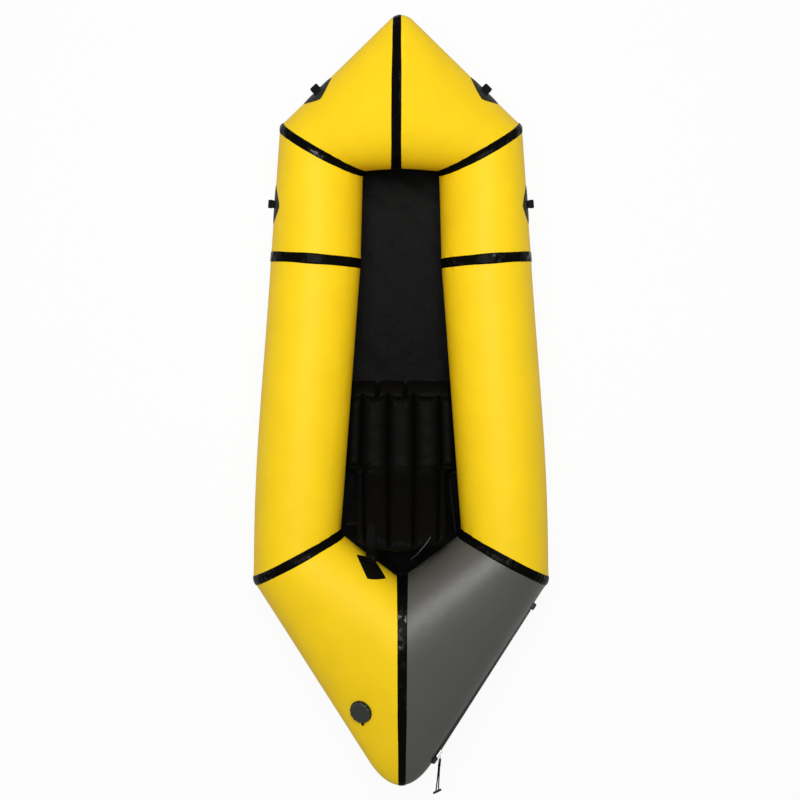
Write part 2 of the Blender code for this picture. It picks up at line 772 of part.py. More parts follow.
def make_floor_edge_tape(hull):
    """The tape over the floor's edge, a closed band that steps from the floor down to the hull."""
    edge = BOTTOM + FLOOR_WRAP
    half = TAPE_WIDTH / 2
    bands = []
    for lift in (0.0, TAPE_THICKNESS):
        floor_rows = hull_rows(hull, FLOOR_OVER + 2 * GAP + lift)
        hull_side = hull_rows(hull, FLOOR_UNDER + lift)
        steps = np.linalg.norm(hull_side[:, edge + 1] - hull_side[:, edge], axis=1)
        share = np.minimum(half / steps, 0.9)[:, None]
        step_share = (GAP + lift + GAP) / steps[:, None]
        on_floor = floor_rows[:, edge] + (floor_rows[:, edge - 1] - floor_rows[:, edge]) * share
        at_edge = floor_rows[:, edge] + (floor_rows[:, edge + 1] - floor_rows[:, edge]) * step_share
        at_foot = hull_side[:, edge] + (hull_side[:, edge + 1] - hull_side[:, edge]) * step_share * 3
        on_hull = hull_side[:, edge] + (hull_side[:, edge + 1] - hull_side[:, edge]) * share
        right = np.stack([on_floor, at_edge, at_foot, on_hull], axis=1)
        bands.append(np.concatenate([right, mirrored(right)[-2:0:-1]], axis=0))
    turning_row = bands[0].shape[0] // 2
    add_skin("floor_edge_tape", bands[0], bands[1], BLACK_TAPE, wrap_rows=True,
             falls=lambda row, column: row >= turning_row)


def tree_of(obj):
    mesh = obj.data
    polygons = [tuple(polygon.vertices) for polygon in mesh.polygons]
    return BVHTree.FromPolygons([vertex.co.copy() for vertex in mesh.vertices], polygons)


def draped(tree, point, out, lift):
    """The point moved along a direction to this height over the surface below it."""
    out = Vector(out)
    hit = tree.ray_cast(Vector(point) + out * DRAPE_REACH, -out, 2 * DRAPE_REACH)
    return tuple((hit[0] if hit[0] is not None else Vector(point)) + out * lift)


def patch_grids(hull, which, from_seam, ridge):
    """Two grids of a diamond patch with round corners, laid on the skin facet by facet."""
    share = hull.share_at(which, ridge, from_seam)
    step = hull.ridge_step(which, share, ridge)
    reach = PATCH_HALF_HEIGHT / step
    inside = np.arange(math.ceil(-2 * reach), math.floor(2 * reach) + 1) / 2
    lines = np.unique(np.round(np.concatenate([[-reach * 0.97], inside, [reach * 0.97]]), 6))
    lines = lines[np.abs(lines) <= reach * 0.97 + 1e-6]
    tree = tree_of(bpy.data.objects[f"{which}_panel_right"])
    grids = []
    for lift in (SEAT_ON_SKIN, SEAT_ON_SKIN + PATCH_THICKNESS):
        rows = []
        for line in lines:
            width = (1 - abs(line / reach) ** PATCH_ROUNDING) ** (1 / PATCH_ROUNDING)
            at = ridge + float(line)
            length = np.linalg.norm(hull.point(which, 1.0, at) - hull.point(which, 0.0, at))
            row = []
            for k in np.linspace(-1, 1, PATCH_COLUMNS):
                along = share + PATCH_HALF_LENGTH * width * k / length
                low = hull.point(which, along, at)
                out = unit(hull.point(which, along, at, DRAPE_REACH) - low)
                row.append(draped(tree, low, out, lift))
            rows.append(row)
        grids.append(np.array(rows))
    return grids


def add_loft(name, sections, finish, **placing):
    """A solid through outlines of equal counts, with flat ends."""
    sections = np.asarray(sections, float)
    slices, count = sections.shape[:2]
    faces = [tuple(reversed(range(count)))]
    faces.append(tuple(range((slices - 1) * count, slices * count)))
    faces += grid_faces(slices, count, False, True)
    return add_mesh(name, sections.reshape(-1, 3), faces, finish, smooth=False, **placing)


def loop_outline():
    """The outline of a webbing loop as (around, height): a foot, an arch and a foot."""
    half = LOOP_OPENING / 2
    centre = LOOP_HEIGHT - WEBBING_THICKNESS - half
    path = [(-half - LOOP_FOOT, 0.0), (-half - WEBBING_THICKNESS, 0.0)]
    for i in range(ARCH_STEPS + 1):
        angle = math.pi * (1 - i / ARCH_STEPS)
        path.append((half * math.cos(angle), centre + half * math.sin(angle)))
    path += [(half + WEBBING_THICKNESS, 0.0), (half + LOOP_FOOT, 0.0)]
    return strip_outline(path, WEBBING_THICKNESS)


def make_loop(hull, name, which, share, step, side):
    """A loop of webbing that stands on the middle of a patch, its opening along the panel."""
    tree = tree_of(bpy.data.objects[name.replace("loop", "patch").replace("left", "right")])
    start = hull.point(which, 0.0, PATCH_RIDGE)
    half_share = LOOP_LENGTH / 2 / np.linalg.norm(hull.point(which, 1.0, PATCH_RIDGE) - start)
    out = np.array(hull.frame(which, share, PATCH_RIDGE).col[2][:3])
    sections = []
    for at in (share - half_share, share + half_share):
        section = []
        for around, height in loop_outline():
            foot = hull.point(which, at, PATCH_RIDGE + around / step)
            section.append(draped(tree, foot, out, SEAT_ON_SKIN + height))
        sections.append(section)
    sections = np.array(sections)
    add_loft(name, mirrored(sections) if side < 0 else sections, BLACK_WEBBING)


def make_tiedowns(hull):
    """Four patches with a loop each: two on the bow, two on the sides ahead of the side seams."""
    places = {"bow": ("bow", BOW_PATCH_FROM_SEAM), "side": ("fore", SIDE_PATCH_FROM_SEAM)}
    for word, (which, from_seam) in places.items():
        under, over = patch_grids(hull, which, from_seam, PATCH_RIDGE)
        share = hull.share_at(which, PATCH_RIDGE, from_seam)
        step = hull.ridge_step(which, share, PATCH_RIDGE)
        for side, hand in ((1, "right"), (-1, "left")):
            turn = mirrored if side < 0 else np.asarray
            add_skin(f"tiedown_patch_{word}_{hand}", turn(under), turn(over), BLACK_FABRIC)
            make_loop(hull, f"tiedown_loop_{word}_{hand}", which, share, step, side)


def chambers_across(half_width, weld_x):
    """(x, swelling) across five chambers side by side, pinched flat at the welds between them."""
    edges = [-half_width, -weld_x, -MIDDLE_CHAMBER_HALF_WIDTH]
    edges += [MIDDLE_CHAMBER_HALF_WIDTH, weld_x, half_width]
    columns = []
    for left, right in zip(edges, edges[1:]):
        fullness = min(1.0, (right - left) / (2 * MIDDLE_CHAMBER_HALF_WIDTH))
        for i in range(CHAMBER_STEPS):
            across = 2 * i / CHAMBER_STEPS - 1
            x = left + (right - left) * i / CHAMBER_STEPS
            columns.append((x, fullness * math.sqrt(1 - across * across)))
    columns.append((half_width, 0.0))
    return columns


def swelling_at(columns, x):
    return float(np.interp(x, [c[0] for c in columns], [c[1] for c in columns]))


def hinge_taper(distance):
    """How full a chamber is near the seam that the backrest folds on."""
    left = max(0.0, 1 - distance / HINGE_TAPER)
    return 1 - left * left


def round_taper(distance, reach):
    """How full a chamber is near a rounded end."""
    left = max(0.0, 1 - distance / reach)
    return math.sqrt(1 - left * left)


def end_steps(length, first_reach, second_reach):
    """Places along a chamber: close together over its tapered ends."""
    near = [0.0, 0.12, 0.35, 0.65, 1.0]
    steps = [first_reach * share for share in near]
    middle = (first_reach + length - second_reach) / 2
    steps.append(middle)
    steps += [length - second_reach * share for share in reversed(near)]
    return steps


def seat_middle_z():
    return FLOOR_THICKNESS + GAP + SEAT_THICKNESS / 2


def make_seat_base():
    """The cushion on the floor: five chambers, flat below, tapering to its rear seam."""
    length = SEAT_FRONT_Y - SEAT_HINGE_Y - HINGE_HALF_GAP
    middle = seat_middle_z()
    upper, lower = [], []
    for distance in end_steps(length, HEAD_TAPER, HINGE_TAPER):
        share = distance / length
        half_width = SEAT_FRONT_HALF_WIDTH + (SEAT_REAR_HALF_WIDTH - SEAT_FRONT_HALF_WIDTH) * share
        fullness = min(round_taper(distance, HEAD_TAPER), hinge_taper(length - distance))
        top_row, low_row = [], []
        for x, swell in chambers_across(half_width, OUTER_WELD_X):
            half = SEAT_LIP / 2 + (SEAT_THICKNESS - SEAT_LIP) / 2 * swell * fullness
            flat = min(half, SEAT_THICKNESS / 2 * BASE_FLATNESS_SHARE)
            top_row.append((x, SEAT_FRONT_Y - distance, middle + half))
            low_row.append((x, SEAT_FRONT_Y - distance, middle - max(flat, SEAT_LIP / 2)))
        upper.append(top_row)
        lower.append(low_row)
    lower = np.array(lower)
    lower[..., 2] -= SEAT_THICKNESS / 2 * (1 - BASE_FLATNESS_SHARE) * base_contact(lower, middle)
    return add_skin("seat_base", lower, upper, BLACK_FABRIC)


def base_contact(lower, middle):
    """How far each low point has swollen, so that full chambers reach down to the floor."""
    swollen = (middle - lower[..., 2] - SEAT_LIP / 2) / (SEAT_THICKNESS / 2 - SEAT_LIP / 2)
    return np.clip(swollen / BASE_FLATNESS_SHARE, 0, 1)


def backrest_frame():
    """X to starboard, Y up along the backrest from its hinge, -Z out of its front."""
    angle = math.radians(BACKREST_ANGLE_DEG)
    return Matrix((
        (1.0, 0.0, 0.0, 0.0),
        (0.0, -math.cos(angle), -math.sin(angle), SEAT_HINGE_Y),
        (0.0, math.sin(angle), -math.cos(angle), seat_middle_z()),
        (0.0, 0.0, 0.0, 1.0),
    ))


def backrest_half_width(share):
    return BACKREST_FOOT_HALF_WIDTH + (BACKREST_HEAD_HALF_WIDTH - BACKREST_FOOT_HALF_WIDTH) * share


def backrest_columns(share):
    weld = OUTER_WELD_X * backrest_half_width(share) / BACKREST_FOOT_HALF_WIDTH * OUTER_CHAMBER_SHARE
    return chambers_across(backrest_half_width(share), weld)


def backrest_reach(x, share):
    """The length of the backrest at a distance from its middle: its head is a shallow arc."""
    return BACKREST_LENGTH - BACKREST_HEAD_DROP * (x / backrest_half_width(share)) ** 2


def backrest_half_thickness(x, distance):
    share = distance / BACKREST_LENGTH
    reach = backrest_reach(x, share)
    swell = swelling_at(backrest_columns(share), x)
    fullness = min(hinge_taper(distance), round_taper(reach - distance, HEAD_TAPER))
    return SEAT_LIP / 2 + (BACKREST_THICKNESS - SEAT_LIP) / 2 * swell * fullness


def backrest_row_distance(x, step):
    """How far from the hinge one cross row lies at a distance from the middle."""
    length = BACKREST_LENGTH - HINGE_HALF_GAP
    late = max(0.0, step - HINGE_TAPER) / (length - HINGE_TAPER)
    return HINGE_HALF_GAP + step - (BACKREST_LENGTH - backrest_reach(x, step / length)) * late


def make_backrest():
    """The inflated backrest, seamed to the rear of the seat, with its origin on that hinge."""
    front, back = [], []
    for step in end_steps(BACKREST_LENGTH - HINGE_HALF_GAP, HINGE_TAPER, HEAD_TAPER):
        share = step / (BACKREST_LENGTH - HINGE_HALF_GAP)
        front_row, back_row = [], []
        for x, _ in backrest_columns(share):
            distance = backrest_row_distance(x, step)
            half = backrest_half_thickness(x, distance)
            front_row.append((x, distance, -half))
            back_row.append((x, distance, half))
        front.append(front_row)
        back.append(back_row)
    return add_skin("seat_backrest", front, back, BLACK_FABRIC, frame=backrest_frame())


def make_skirt():
    """The loose fabric from the front of the seat down to the floor, with shallow folds."""
    foot_z = FLOOR_THICKNESS + GAP
    head_y = SEAT_FRONT_Y + GAP
    head_z = seat_middle_z() - SKIRT_THICKNESS / 2
    rows = []
    for i in range(SKIRT_ROWS):
        down = i / (SKIRT_ROWS - 1)
        row = []
        for j in range(SKIRT_COLUMNS):
            across = 2 * j / (SKIRT_COLUMNS - 1) - 1
            fold = math.cos(SKIRT_FOLDS * math.pi * across) ** 2 * math.sin(math.pi * down)
            y = head_y + (SKIRT_FRONT_Y - head_y) * down
            z = head_z + (foot_z - head_z) * math.sin(math.pi / 2 * down) + SKIRT_FOLD * fold
            row.append((SKIRT_HALF_WIDTH * across, y, z))
        rows.append(row)
    under = np.array(rows)
    over = under + np.array([0.0, 0.0, SKIRT_THICKNESS])
    add_skin("seat_front_skirt", under, over, BLACK_FABRIC)


def seated(frame, obj, radius):
    """The frame moved out until a disc of this radius lies just clear of an object's faces."""
    tree = tree_of(obj)
    out = frame.col[2].to_3d()
    highest = 0.0
    for ring in range(1, SEAT_RINGS + 1):
        for i in range(SEAT_SPOKES):
            turn = 2 * math.pi * i / SEAT_SPOKES
            reach = radius * ring / SEAT_RINGS
            at = frame @ Vector((reach * math.cos(turn), reach * math.sin(turn), radius))
            hit = tree.ray_cast(at, -out, 2 * radius)
            if hit[0] is not None:
                highest = max(highest, radius - hit[3])
    moved = frame.copy()
    moved.translation = frame.translation + out * (highest + GAP)
    return moved


def mirrored_frame(frame):
    """The frame of the same piece on the port side."""
    along = mirrored(frame.col[0][:3])
    normal = mirrored(frame.col[2][:3])
    return frame_at(mirrored(frame.translation), along, normal)


def strap_line(hull):
    """The strap's plane: its x, its foot on the stern patch and its last point on the backrest."""
    share = hull.share_at("stern", STRAP_PATCH_RIDGE, STRAP_PATCH_FROM_SEAM)
    foot = hull.point("stern", share, STRAP_PATCH_RIDGE, SEAT_ON_SKIN + PATCH_THICKNESS)
    reach = backrest_reach(foot[0], 1.0)
    lift = SEAT_LIP / 2 + GAP + WEBBING_THICKNESS
    head = backrest_frame() @ Vector((foot[0], reach + STRAP_HEAD_CLEARANCE, -lift))
    return foot, np.array(head)


def make_buckle(name, frame):
    """A frame with two side rails and three bars."""
    half_width = BUCKLE_WIDTH / 2
    half_length = BUCKLE_LENGTH / 2
    corner = BUCKLE_BAR / 2
    outline = [
        (-half_length, -half_width + corner), (-half_length + corner, -half_width),
        (half_length - corner, -half_width), (half_length, -half_width + corner),
        (half_length, half_width - corner), (half_length - corner, half_width),
        (-half_length + corner, half_width), (-half_length, half_width - corner),
    ]
    half = BUCKLE_THICKNESS / 2
    buckle = add_prism(name, outline, -half, half, BLACK_PLASTIC)
    slot_width = (BUCKLE_WIDTH - 2 * BUCKLE_BAR) / 2
    for start, end in ((BUCKLE_BAR / 2, half_length - BUCKLE_BAR), (-half_length + BUCKLE_BAR, -BUCKLE_BAR / 2)):
        slot = [(start, -slot_width), (end, -slot_width), (end, slot_width), (start, slot_width)]
        cutter = add_prism("slot", slot, -BUCKLE_THICKNESS, BUCKLE_THICKNESS, BLACK_PLASTIC)
        combine(buckle, cutter, "DIFFERENCE")
    buckle.matrix_world = frame
    return buckle


def anchor_outline():
    """The webbing that holds the buckle: one strip from the patch round the rear bar and back.

    Its plane has X from the patch to the backrest and its origin in the buckle's middle.
    """
    bar_x = -BUCKLE_LENGTH / 2 + BUCKLE_BAR / 2
    round_bar = math.hypot(BUCKLE_BAR, BUCKLE_THICKNESS) / 2 + GAP
    ply = GAP / 2
    meet_x = bar_x - 2 * round_bar
    path = [(-BUCKLE_STAND_OFF, -ply), (meet_x, -ply)]
    for i in range(ARCH_STEPS + 1):
        turn = -ANCHOR_TURN + 2 * ANCHOR_TURN * i / ARCH_STEPS
        path.append((bar_x + round_bar * math.cos(turn), round_bar * math.sin(turn)))
    path += [(meet_x, ply), (-BUCKLE_STAND_OFF, ply)]
    return strip_outline([(x, -z) for x, z in path], WEBBING_THICKNESS)


def make_anchor(name, frame, patch, side):
    """The anchor webbing, its end laid on the patch all across its width."""
    tree = tree_of(patch)
    along = frame.col[0].to_3d()
    outline = anchor_outline()
    sections = []
    for i in range(ANCHOR_SLICES):
        across = WEBBING_WIDTH * (i / (ANCHOR_SLICES - 1) - 1 / 2)
        section = []
        for x, z in outline:
            point = frame @ Vector((x, across, z))
            if x == -BUCKLE_STAND_OFF:
                start = frame @ Vector((-BUCKLE_LENGTH / 2, across, z))
                hit = tree.ray_cast(start, -along)
                point = hit[0] + along * 2 * GAP if hit[0] is not None else point
            section.append(tuple(point))
        sections.append(section)
    sections = np.array(sections)
    add_loft(name, mirrored(sections) if side < 0 else sections, BLACK_WEBBING)


def strap_path(frame, x):
    """The strap's middle line in its own plane, from the backrest to the buckle's middle bar."""
    rest = backrest_frame()
    into = frame.inverted()
    inner = x - WEBBING_WIDTH / 2
    across = [inner, strap_crown_x(x), x, x + WEBBING_WIDTH / 2]
    reach = backrest_reach(inner, 1.0)
    path = []
    for step in end_steps(BACKREST_LENGTH - HINGE_HALF_GAP, HINGE_TAPER, HEAD_TAPER):
        distance = backrest_row_distance(inner, step)
        if distance < reach - STRAP_SEWN_FROM_HEAD:
            continue
        half = max(backrest_half_thickness(k, min(distance, backrest_reach(k, 1.0))) for k in across)
        lift = half + 2 * GAP + WEBBING_THICKNESS / 2
        point = into @ (rest @ Vector((x, distance, -lift)))
        path.append((point.x, point.z))
    lift = SEAT_LIP / 2 + GAP + WEBBING_THICKNESS
    point = into @ (rest @ Vector((x, reach + STRAP_HEAD_CLEARANCE, -lift)))
    path.append((point.x, point.z))
    under = -BUCKLE_THICKNESS / 2 - GAP - WEBBING_THICKNESS / 2
    slot = BUCKLE_LENGTH / 2 - BUCKLE_BAR
    turn = WEBBING_THICKNESS / 2
    path.append((BUCKLE_LENGTH / 2 + turn, under))
    path.append((slot - turn, under))
    path.append((BUCKLE_BAR / 2 + turn, -under))
    path.append((-BUCKLE_BAR / 2 - turn, -under))
    path.append((-BUCKLE_BAR / 2 - 2 * turn, turn))
    return path


def strap_crown_x(x):
    """The middle of the chamber that the strap lies on."""
    share = 1 - STRAP_SEWN_FROM_HEAD / BACKREST_LENGTH / 2
    weld = OUTER_WELD_X * backrest_half_width(share) / BACKREST_FOOT_HALF_WIDTH * OUTER_CHAMBER_SHARE
    return (MIDDLE_CHAMBER_HALF_WIDTH + weld) / 2 if x < weld else x


def make_straps(hull):
    """On each side: a patch on the stern, an anchor loop, a ladder buckle and the backrest's strap."""
    under, over = patch_grids(hull, "stern", STRAP_PATCH_FROM_SEAM, STRAP_PATCH_RIDGE)
    foot, head = strap_line(hull)
    along = unit(np.array([0.0, *(head - foot)[1:]]))
    up = np.array([0.0, -along[2], along[1]])
    middle = foot + along * BUCKLE_STAND_OFF
    frame = frame_at(middle, along, up)
    right_patch = None
    for side, hand in ((1, "right"), (-1, "left")):
        turn = mirrored if side < 0 else np.asarray
        patch = add_skin(f"seat_patch_{hand}", turn(under), turn(over), BLACK_FABRIC)
        right_patch = right_patch or patch
        make_anchor(f"seat_strap_anchor_{hand}", frame, right_patch, side)
        own = frame.copy()
        own.translation = Vector((side * foot[0], middle[1], middle[2]))
        make_buckle(f"seat_buckle_{hand}", own)
        outline = strip_outline(strap_path(frame, foot[0]), WEBBING_THICKNESS, WEBBING_THICKNESS / 2)
        sections = [
            [tuple(own @ Vector((x, across, z))) for x, z in outline]
            for across in (-WEBBING_WIDTH / 2, WEBBING_WIDTH / 2)
        ]
        add_loft(f"seat_strap_{hand}", sections, BLACK_WEBBING)


def make_oral_tube(hull, side_panel):
    """The tube for topping up by mouth, from a boot on the inner side of the starboard tube."""
    share = hull.share_at("side", ORAL_FACET, ORAL_FROM_SEAM)
    frame = seated(hull.frame("side", share, ORAL_FACET), side_panel, ORAL_BOOT_RADIUS)
    bore = ORAL_STUB_RADIUS - ORAL_WALL
    top = ORAL_BOOT_THICKNESS + ORAL_STUB_LENGTH
    profile = [
        (bore, 0.0), (ORAL_BOOT_RADIUS, 0.0), (ORAL_BOOT_RADIUS, ORAL_BOOT_THICKNESS / 2),
        (ORAL_STUB_RADIUS + ORAL_WALL, ORAL_BOOT_THICKNESS), (ORAL_STUB_RADIUS, 2 * ORAL_BOOT_THICKNESS),
        (ORAL_STUB_RADIUS, top), (bore, top),
    ]
    add_turned("oral_tube_boot", profile, SMALL_SIDES, BLACK_RUBBER, frame=frame)
    leads = [frame @ Vector((0.0, 0.0, top + GAP + lead)) for lead in ORAL_LEADS]
    route = [tuple(point) for point in leads] + ORAL_ROUTE
    add_tube("oral_tube", smooth_route(route, ORAL_TUBE_POINTS), ORAL_TUBE_RADIUS, CLEAR_HOSE)
    heading = unit(np.array(ORAL_ROUTE[-1]) - np.array(ORAL_ROUTE[-2]))
    end = frame_at(np.array(ORAL_ROUTE[-1]) + heading * GAP, [0.0, 0.0, 1.0], heading)
    tip_bore = ORAL_TIP_RADIUS - ORAL_WALL
    neck = ORAL_BODY_RADIUS - ORAL_WALL / 2
    body = [
        (tip_bore, 0.0), (ORAL_TUBE_RADIUS, 0.0), (ORAL_BODY_RADIUS, ORAL_WALL),
        (ORAL_BODY_RADIUS, ORAL_BODY_LENGTH / 2), (neck, ORAL_BODY_LENGTH / 2 + ORAL_WALL),
        (neck, ORAL_BODY_LENGTH), (tip_bore, ORAL_BODY_LENGTH),
    ]
    add_turned("oral_valve_body", body, SMALL_SIDES, BLACK_PLASTIC, frame=end)
    tip_at = end @ Matrix.Translation((0.0, 0.0, ORAL_BODY_LENGTH + GAP))
    tip = [
        (tip_bore, 0.0), (ORAL_TIP_RADIUS, 0.0), (ORAL_TIP_RADIUS, ORAL_TIP_LENGTH - ORAL_WALL),
        (ORAL_TIP_RADIUS - ORAL_WALL / 2, ORAL_TIP_LENGTH), (tip_bore, ORAL_TIP_LENGTH),
    ]
    add_turned("oral_valve_tip", tip, SMALL_SIDES, BLACK_PLASTIC, notches=4,
               notch_depth=ORAL_WALL / 4, notch_from=tip_bore, frame=tip_at)


def make_seat_valve(backrest):
    """The backrest's own valve, on its port edge, with a cap that turns."""
    distance = SEAT_VALVE_FROM_HINGE
    share = distance / BACKREST_LENGTH
    inside = Vector((2 * SEAT_LIP - backrest_half_width(share), distance, 0.0))
    own = frame_at(inside, [0.0, 1.0, 0.0], [-1.0, 0.0, 0.0])
    frame = backrest_frame() @ seated(own, backrest, SEAT_VALVE_RADIUS + SEAT_LIP)
    bore = SEAT_VALVE_RADIUS / 2
    body = [
        (bore, 0.0), (SEAT_VALVE_RADIUS + SEAT_LIP, 0.0), (SEAT_VALVE_RADIUS + SEAT_LIP, SEAT_LIP),
        (SEAT_VALVE_RADIUS, SEAT_LIP), (SEAT_VALVE_RADIUS, SEAT_VALVE_LENGTH), (bore, SEAT_VALVE_LENGTH),
    ]
    add_turned("seat_valve_body", body, SMALL_SIDES, BLACK_PLASTIC, frame=frame, parent=backrest)
    cap_at = frame @ Matrix.Translation((0.0, 0.0, SEAT_VALVE_LENGTH + GAP))
    rim = SEAT_VALVE_CAP_RADIUS - SEAT_LIP
    cap = [
        (0.0, 0.0), (SEAT_VALVE_CAP_RADIUS, 0.0),
        (SEAT_VALVE_CAP_RADIUS, SEAT_VALVE_CAP_LENGTH - SEAT_LIP),
        (rim, SEAT_VALVE_CAP_LENGTH), (0.0, SEAT_VALVE_CAP_LENGTH),
    ]
    add_turned("seat_valve_cap", cap, SMALL_SIDES, BLACK_PLASTIC, notches=8,
               notch_depth=SEAT_LIP / 2, notch_from=rim, frame=cap_at, parent=backrest)


def make_main_valve(hull, panel):
    """The large valve on the port stern panel: barrel, sprung poppet, tether and turning cap."""
    share = hull.share_at("stern", VALVE_RIDGE, VALVE_FROM_SEAM)
    flat = mirrored_frame(hull.frame("stern", share, VALVE_RIDGE))
    frame = seated(flat, panel, VALVE_FLANGE_RADIUS)
    cutter = add_turned("cutter", [
        (0.0, -VALVE_FLANGE_RADIUS), (VALVE_BARREL_RADIUS + VALVE_CLEARANCE, -VALVE_FLANGE_RADIUS),
        (VALVE_BARREL_RADIUS + VALVE_CLEARANCE, VALVE_FLANGE_RADIUS), (0.0, VALVE_FLANGE_RADIUS),
    ], VALVE_SIDES, BLACK_PLASTIC, frame=frame)
    combine(panel, cutter, "DIFFERENCE")
    bore = VALVE_BARREL_RADIUS - VALVE_BARREL_WALL
    ledge = -VALVE_LEDGE_DEPTH
    under_ledge = ledge - VALVE_LEDGE_THICKNESS
    floor_top = -VALVE_BARREL_DEPTH + VALVE_BARREL_WALL
    barrel = add_turned("valve_barrel", [
        (VALVE_BARREL_RADIUS, 0.0), (VALVE_FLANGE_RADIUS, 0.0),
        (VALVE_FLANGE_RADIUS, VALVE_FLANGE_THICKNESS), (bore, VALVE_FLANGE_THICKNESS),
        (bore, ledge), (VALVE_THROAT_RADIUS, ledge), (VALVE_THROAT_RADIUS, under_ledge),
        (bore, under_ledge), (bore, floor_top), (VALVE_GUIDE_RADIUS, floor_top),
        (VALVE_GUIDE_RADIUS, -VALVE_BARREL_DEPTH), (VALVE_BARREL_RADIUS, -VALVE_BARREL_DEPTH),
    ], VALVE_SIDES, BLACK_PLASTIC, frame=Matrix.Identity(4))
    for i in range(4):
        turn = math.pi / 2 * i
        reach = (VALVE_GUIDE_RADIUS + bore) / 2
        hole_at = Matrix.Translation((reach * math.cos(turn), reach * math.sin(turn), floor_top))
        hole = add_turned("hole", [
            (0.0, -VALVE_BARREL_WALL * 2), (VALVE_AIR_HOLE_RADIUS, -VALVE_BARREL_WALL * 2),
            (VALVE_AIR_HOLE_RADIUS, VALVE_BARREL_WALL), (0.0, VALVE_BARREL_WALL),
        ], SMALL_SIDES, BLACK_PLASTIC, frame=hole_at)
        combine(barrel, hole, "DIFFERENCE", "MANIFOLD")
    barrel.matrix_world = frame
    seal_top = under_ledge - GAP
    disc_top = seal_top - VALVE_SEAL_THICKNESS - GAP
    disc_low = disc_top - VALVE_DISC_THICKNESS
    button = ledge + VALVE_TRAVEL
    stem_end = -VALVE_BARREL_DEPTH - VALVE_TRAVEL / 2
    add_turned("valve_poppet", [
        (0.0, stem_end), (VALVE_STEM_RADIUS, stem_end), (VALVE_STEM_RADIUS, disc_low),
        (VALVE_DISC_RADIUS, disc_low), (VALVE_DISC_RADIUS, disc_top),
        (VALVE_STEM_RADIUS, disc_top), (VALVE_STEM_RADIUS, button - VALVE_BUTTON_THICKNESS),
        (VALVE_BUTTON_RADIUS, button - VALVE_BUTTON_THICKNESS), (VALVE_BUTTON_RADIUS, button),
        (0.0, button),
    ], SMALL_SIDES, BLACK_PLASTIC, frame=frame)
    add_turned("valve_seal", [
        (VALVE_STEM_RADIUS + GAP, disc_top + GAP), (VALVE_DISC_RADIUS, disc_top + GAP),
        (VALVE_DISC_RADIUS, seal_top), (VALVE_STEM_RADIUS + GAP, seal_top),
    ], SMALL_SIDES, BLACK_RUBBER, frame=frame)
    make_valve_spring(frame, floor_top + GAP, disc_low - GAP)
    make_valve_cap(frame, bore)


def make_valve_spring(frame, low, high):
    """A coil between the barrel's floor and the poppet's disc, with its ends squared off."""
    low += VALVE_SPRING_WIRE
    high -= VALVE_SPRING_WIRE
    count = VALVE_SPRING_TURNS * SPRING_STEPS
    route = []
    for i in range(count + 1):
        turn = 2 * math.pi * i / SPRING_STEPS
        rise = min(max((i - SPRING_STEPS / 2) / (count - SPRING_STEPS), 0.0), 1.0)
        flat = VALVE_SPRING_WIRE * 2 * (min(i / (SPRING_STEPS / 2), 1.0) - 1)
        steep = VALVE_SPRING_WIRE * 2 * (1 - min((count - i) / (SPRING_STEPS / 2), 1.0))
        start = low + 2 * VALVE_SPRING_WIRE
        end = high - 2 * VALVE_SPRING_WIRE
        z = start + (end - start) * rise + flat + steep
        route.append((VALVE_SPRING_RADIUS * math.cos(turn), VALVE_SPRING_RADIUS * math.sin(turn), z))
    add_tube("valve_spring", route, VALVE_SPRING_WIRE, SPRING_STEEL, resolution=0, frame=frame)


def make_valve_cap(frame, bore):
    """The tether's ring on the flange and the notched cap above it, with a plug in the bore."""
    low = VALVE_FLANGE_THICKNESS + GAP
    ring_top = low + VALVE_TETHER_THICKNESS
    ring = add_turned("valve_tether", [
        (bore, low), (VALVE_CAP_RADIUS, low), (VALVE_CAP_RADIUS, ring_top), (bore, ring_top),
    ], VALVE_SIDES, BLACK_RUBBER)
    half = VALVE_TETHER_WIDTH / 2
    inside = (bore + VALVE_CAP_RADIUS) / 2
    tab = [
        (inside, -half), (VALVE_TETHER_REACH - half, -half), (VALVE_TETHER_REACH, 0.0),
        (VALVE_TETHER_REACH - half, half), (inside, half),
    ]
    strip = add_prism("tab", tab, low, ring_top, BLACK_RUBBER)
    combine(ring, strip, "UNION")
    ring.matrix_world = frame @ Matrix.Rotation(math.radians(VALVE_TETHER_TURN_DEG), 4, "Z")
    base = ring_top + GAP
    top = base + VALVE_CAP_THICKNESS
    plug = bore - VALVE_CLEARANCE
    plug_low = base - VALVE_CAP_PLUG_DEPTH
    chamfer = VALVE_CAP_THICKNESS / 4
    add_turned("valve_cap", [
        (0.0, base), (plug - VALVE_CAP_PLUG_WALL, base), (plug - VALVE_CAP_PLUG_WALL, plug_low),
        (plug, plug_low), (plug, base), (VALVE_CAP_RADIUS, base), (VALVE_CAP_RADIUS, top - chamfer),
        (VALVE_CAP_RADIUS - chamfer, top), (0.0, top),
    ], VALVE_CAP_NOTCHES * 3, BLACK_PLASTIC, notches=VALVE_CAP_NOTCHES,
        notch_depth=VALVE_CAP_NOTCH_DEPTH, notch_from=plug + VALVE_CLEARANCE, frame=frame)


def zip_line(hull):
    """The zip's shares of the stern panel at its aft and forward ends."""
    length = np.linalg.norm(hull.point("stern", 1.0, ZIP_RIDGE) - drawn_point(hull, ZIP_RIDGE))
    fore = 1 - ZIP_START_FROM_SEAM / length
    return fore - ZIP_LENGTH / length, fore


def drawn_point(hull, ridge):
    """Where the straight line of the stern panel at this ridge would meet the centre plane."""
    start = hull.panel("stern").start
    low = math.floor(ridge)
    part = ridge - low
    return start[low] * (1 - part) + start[(low + 1) % AROUND] * part


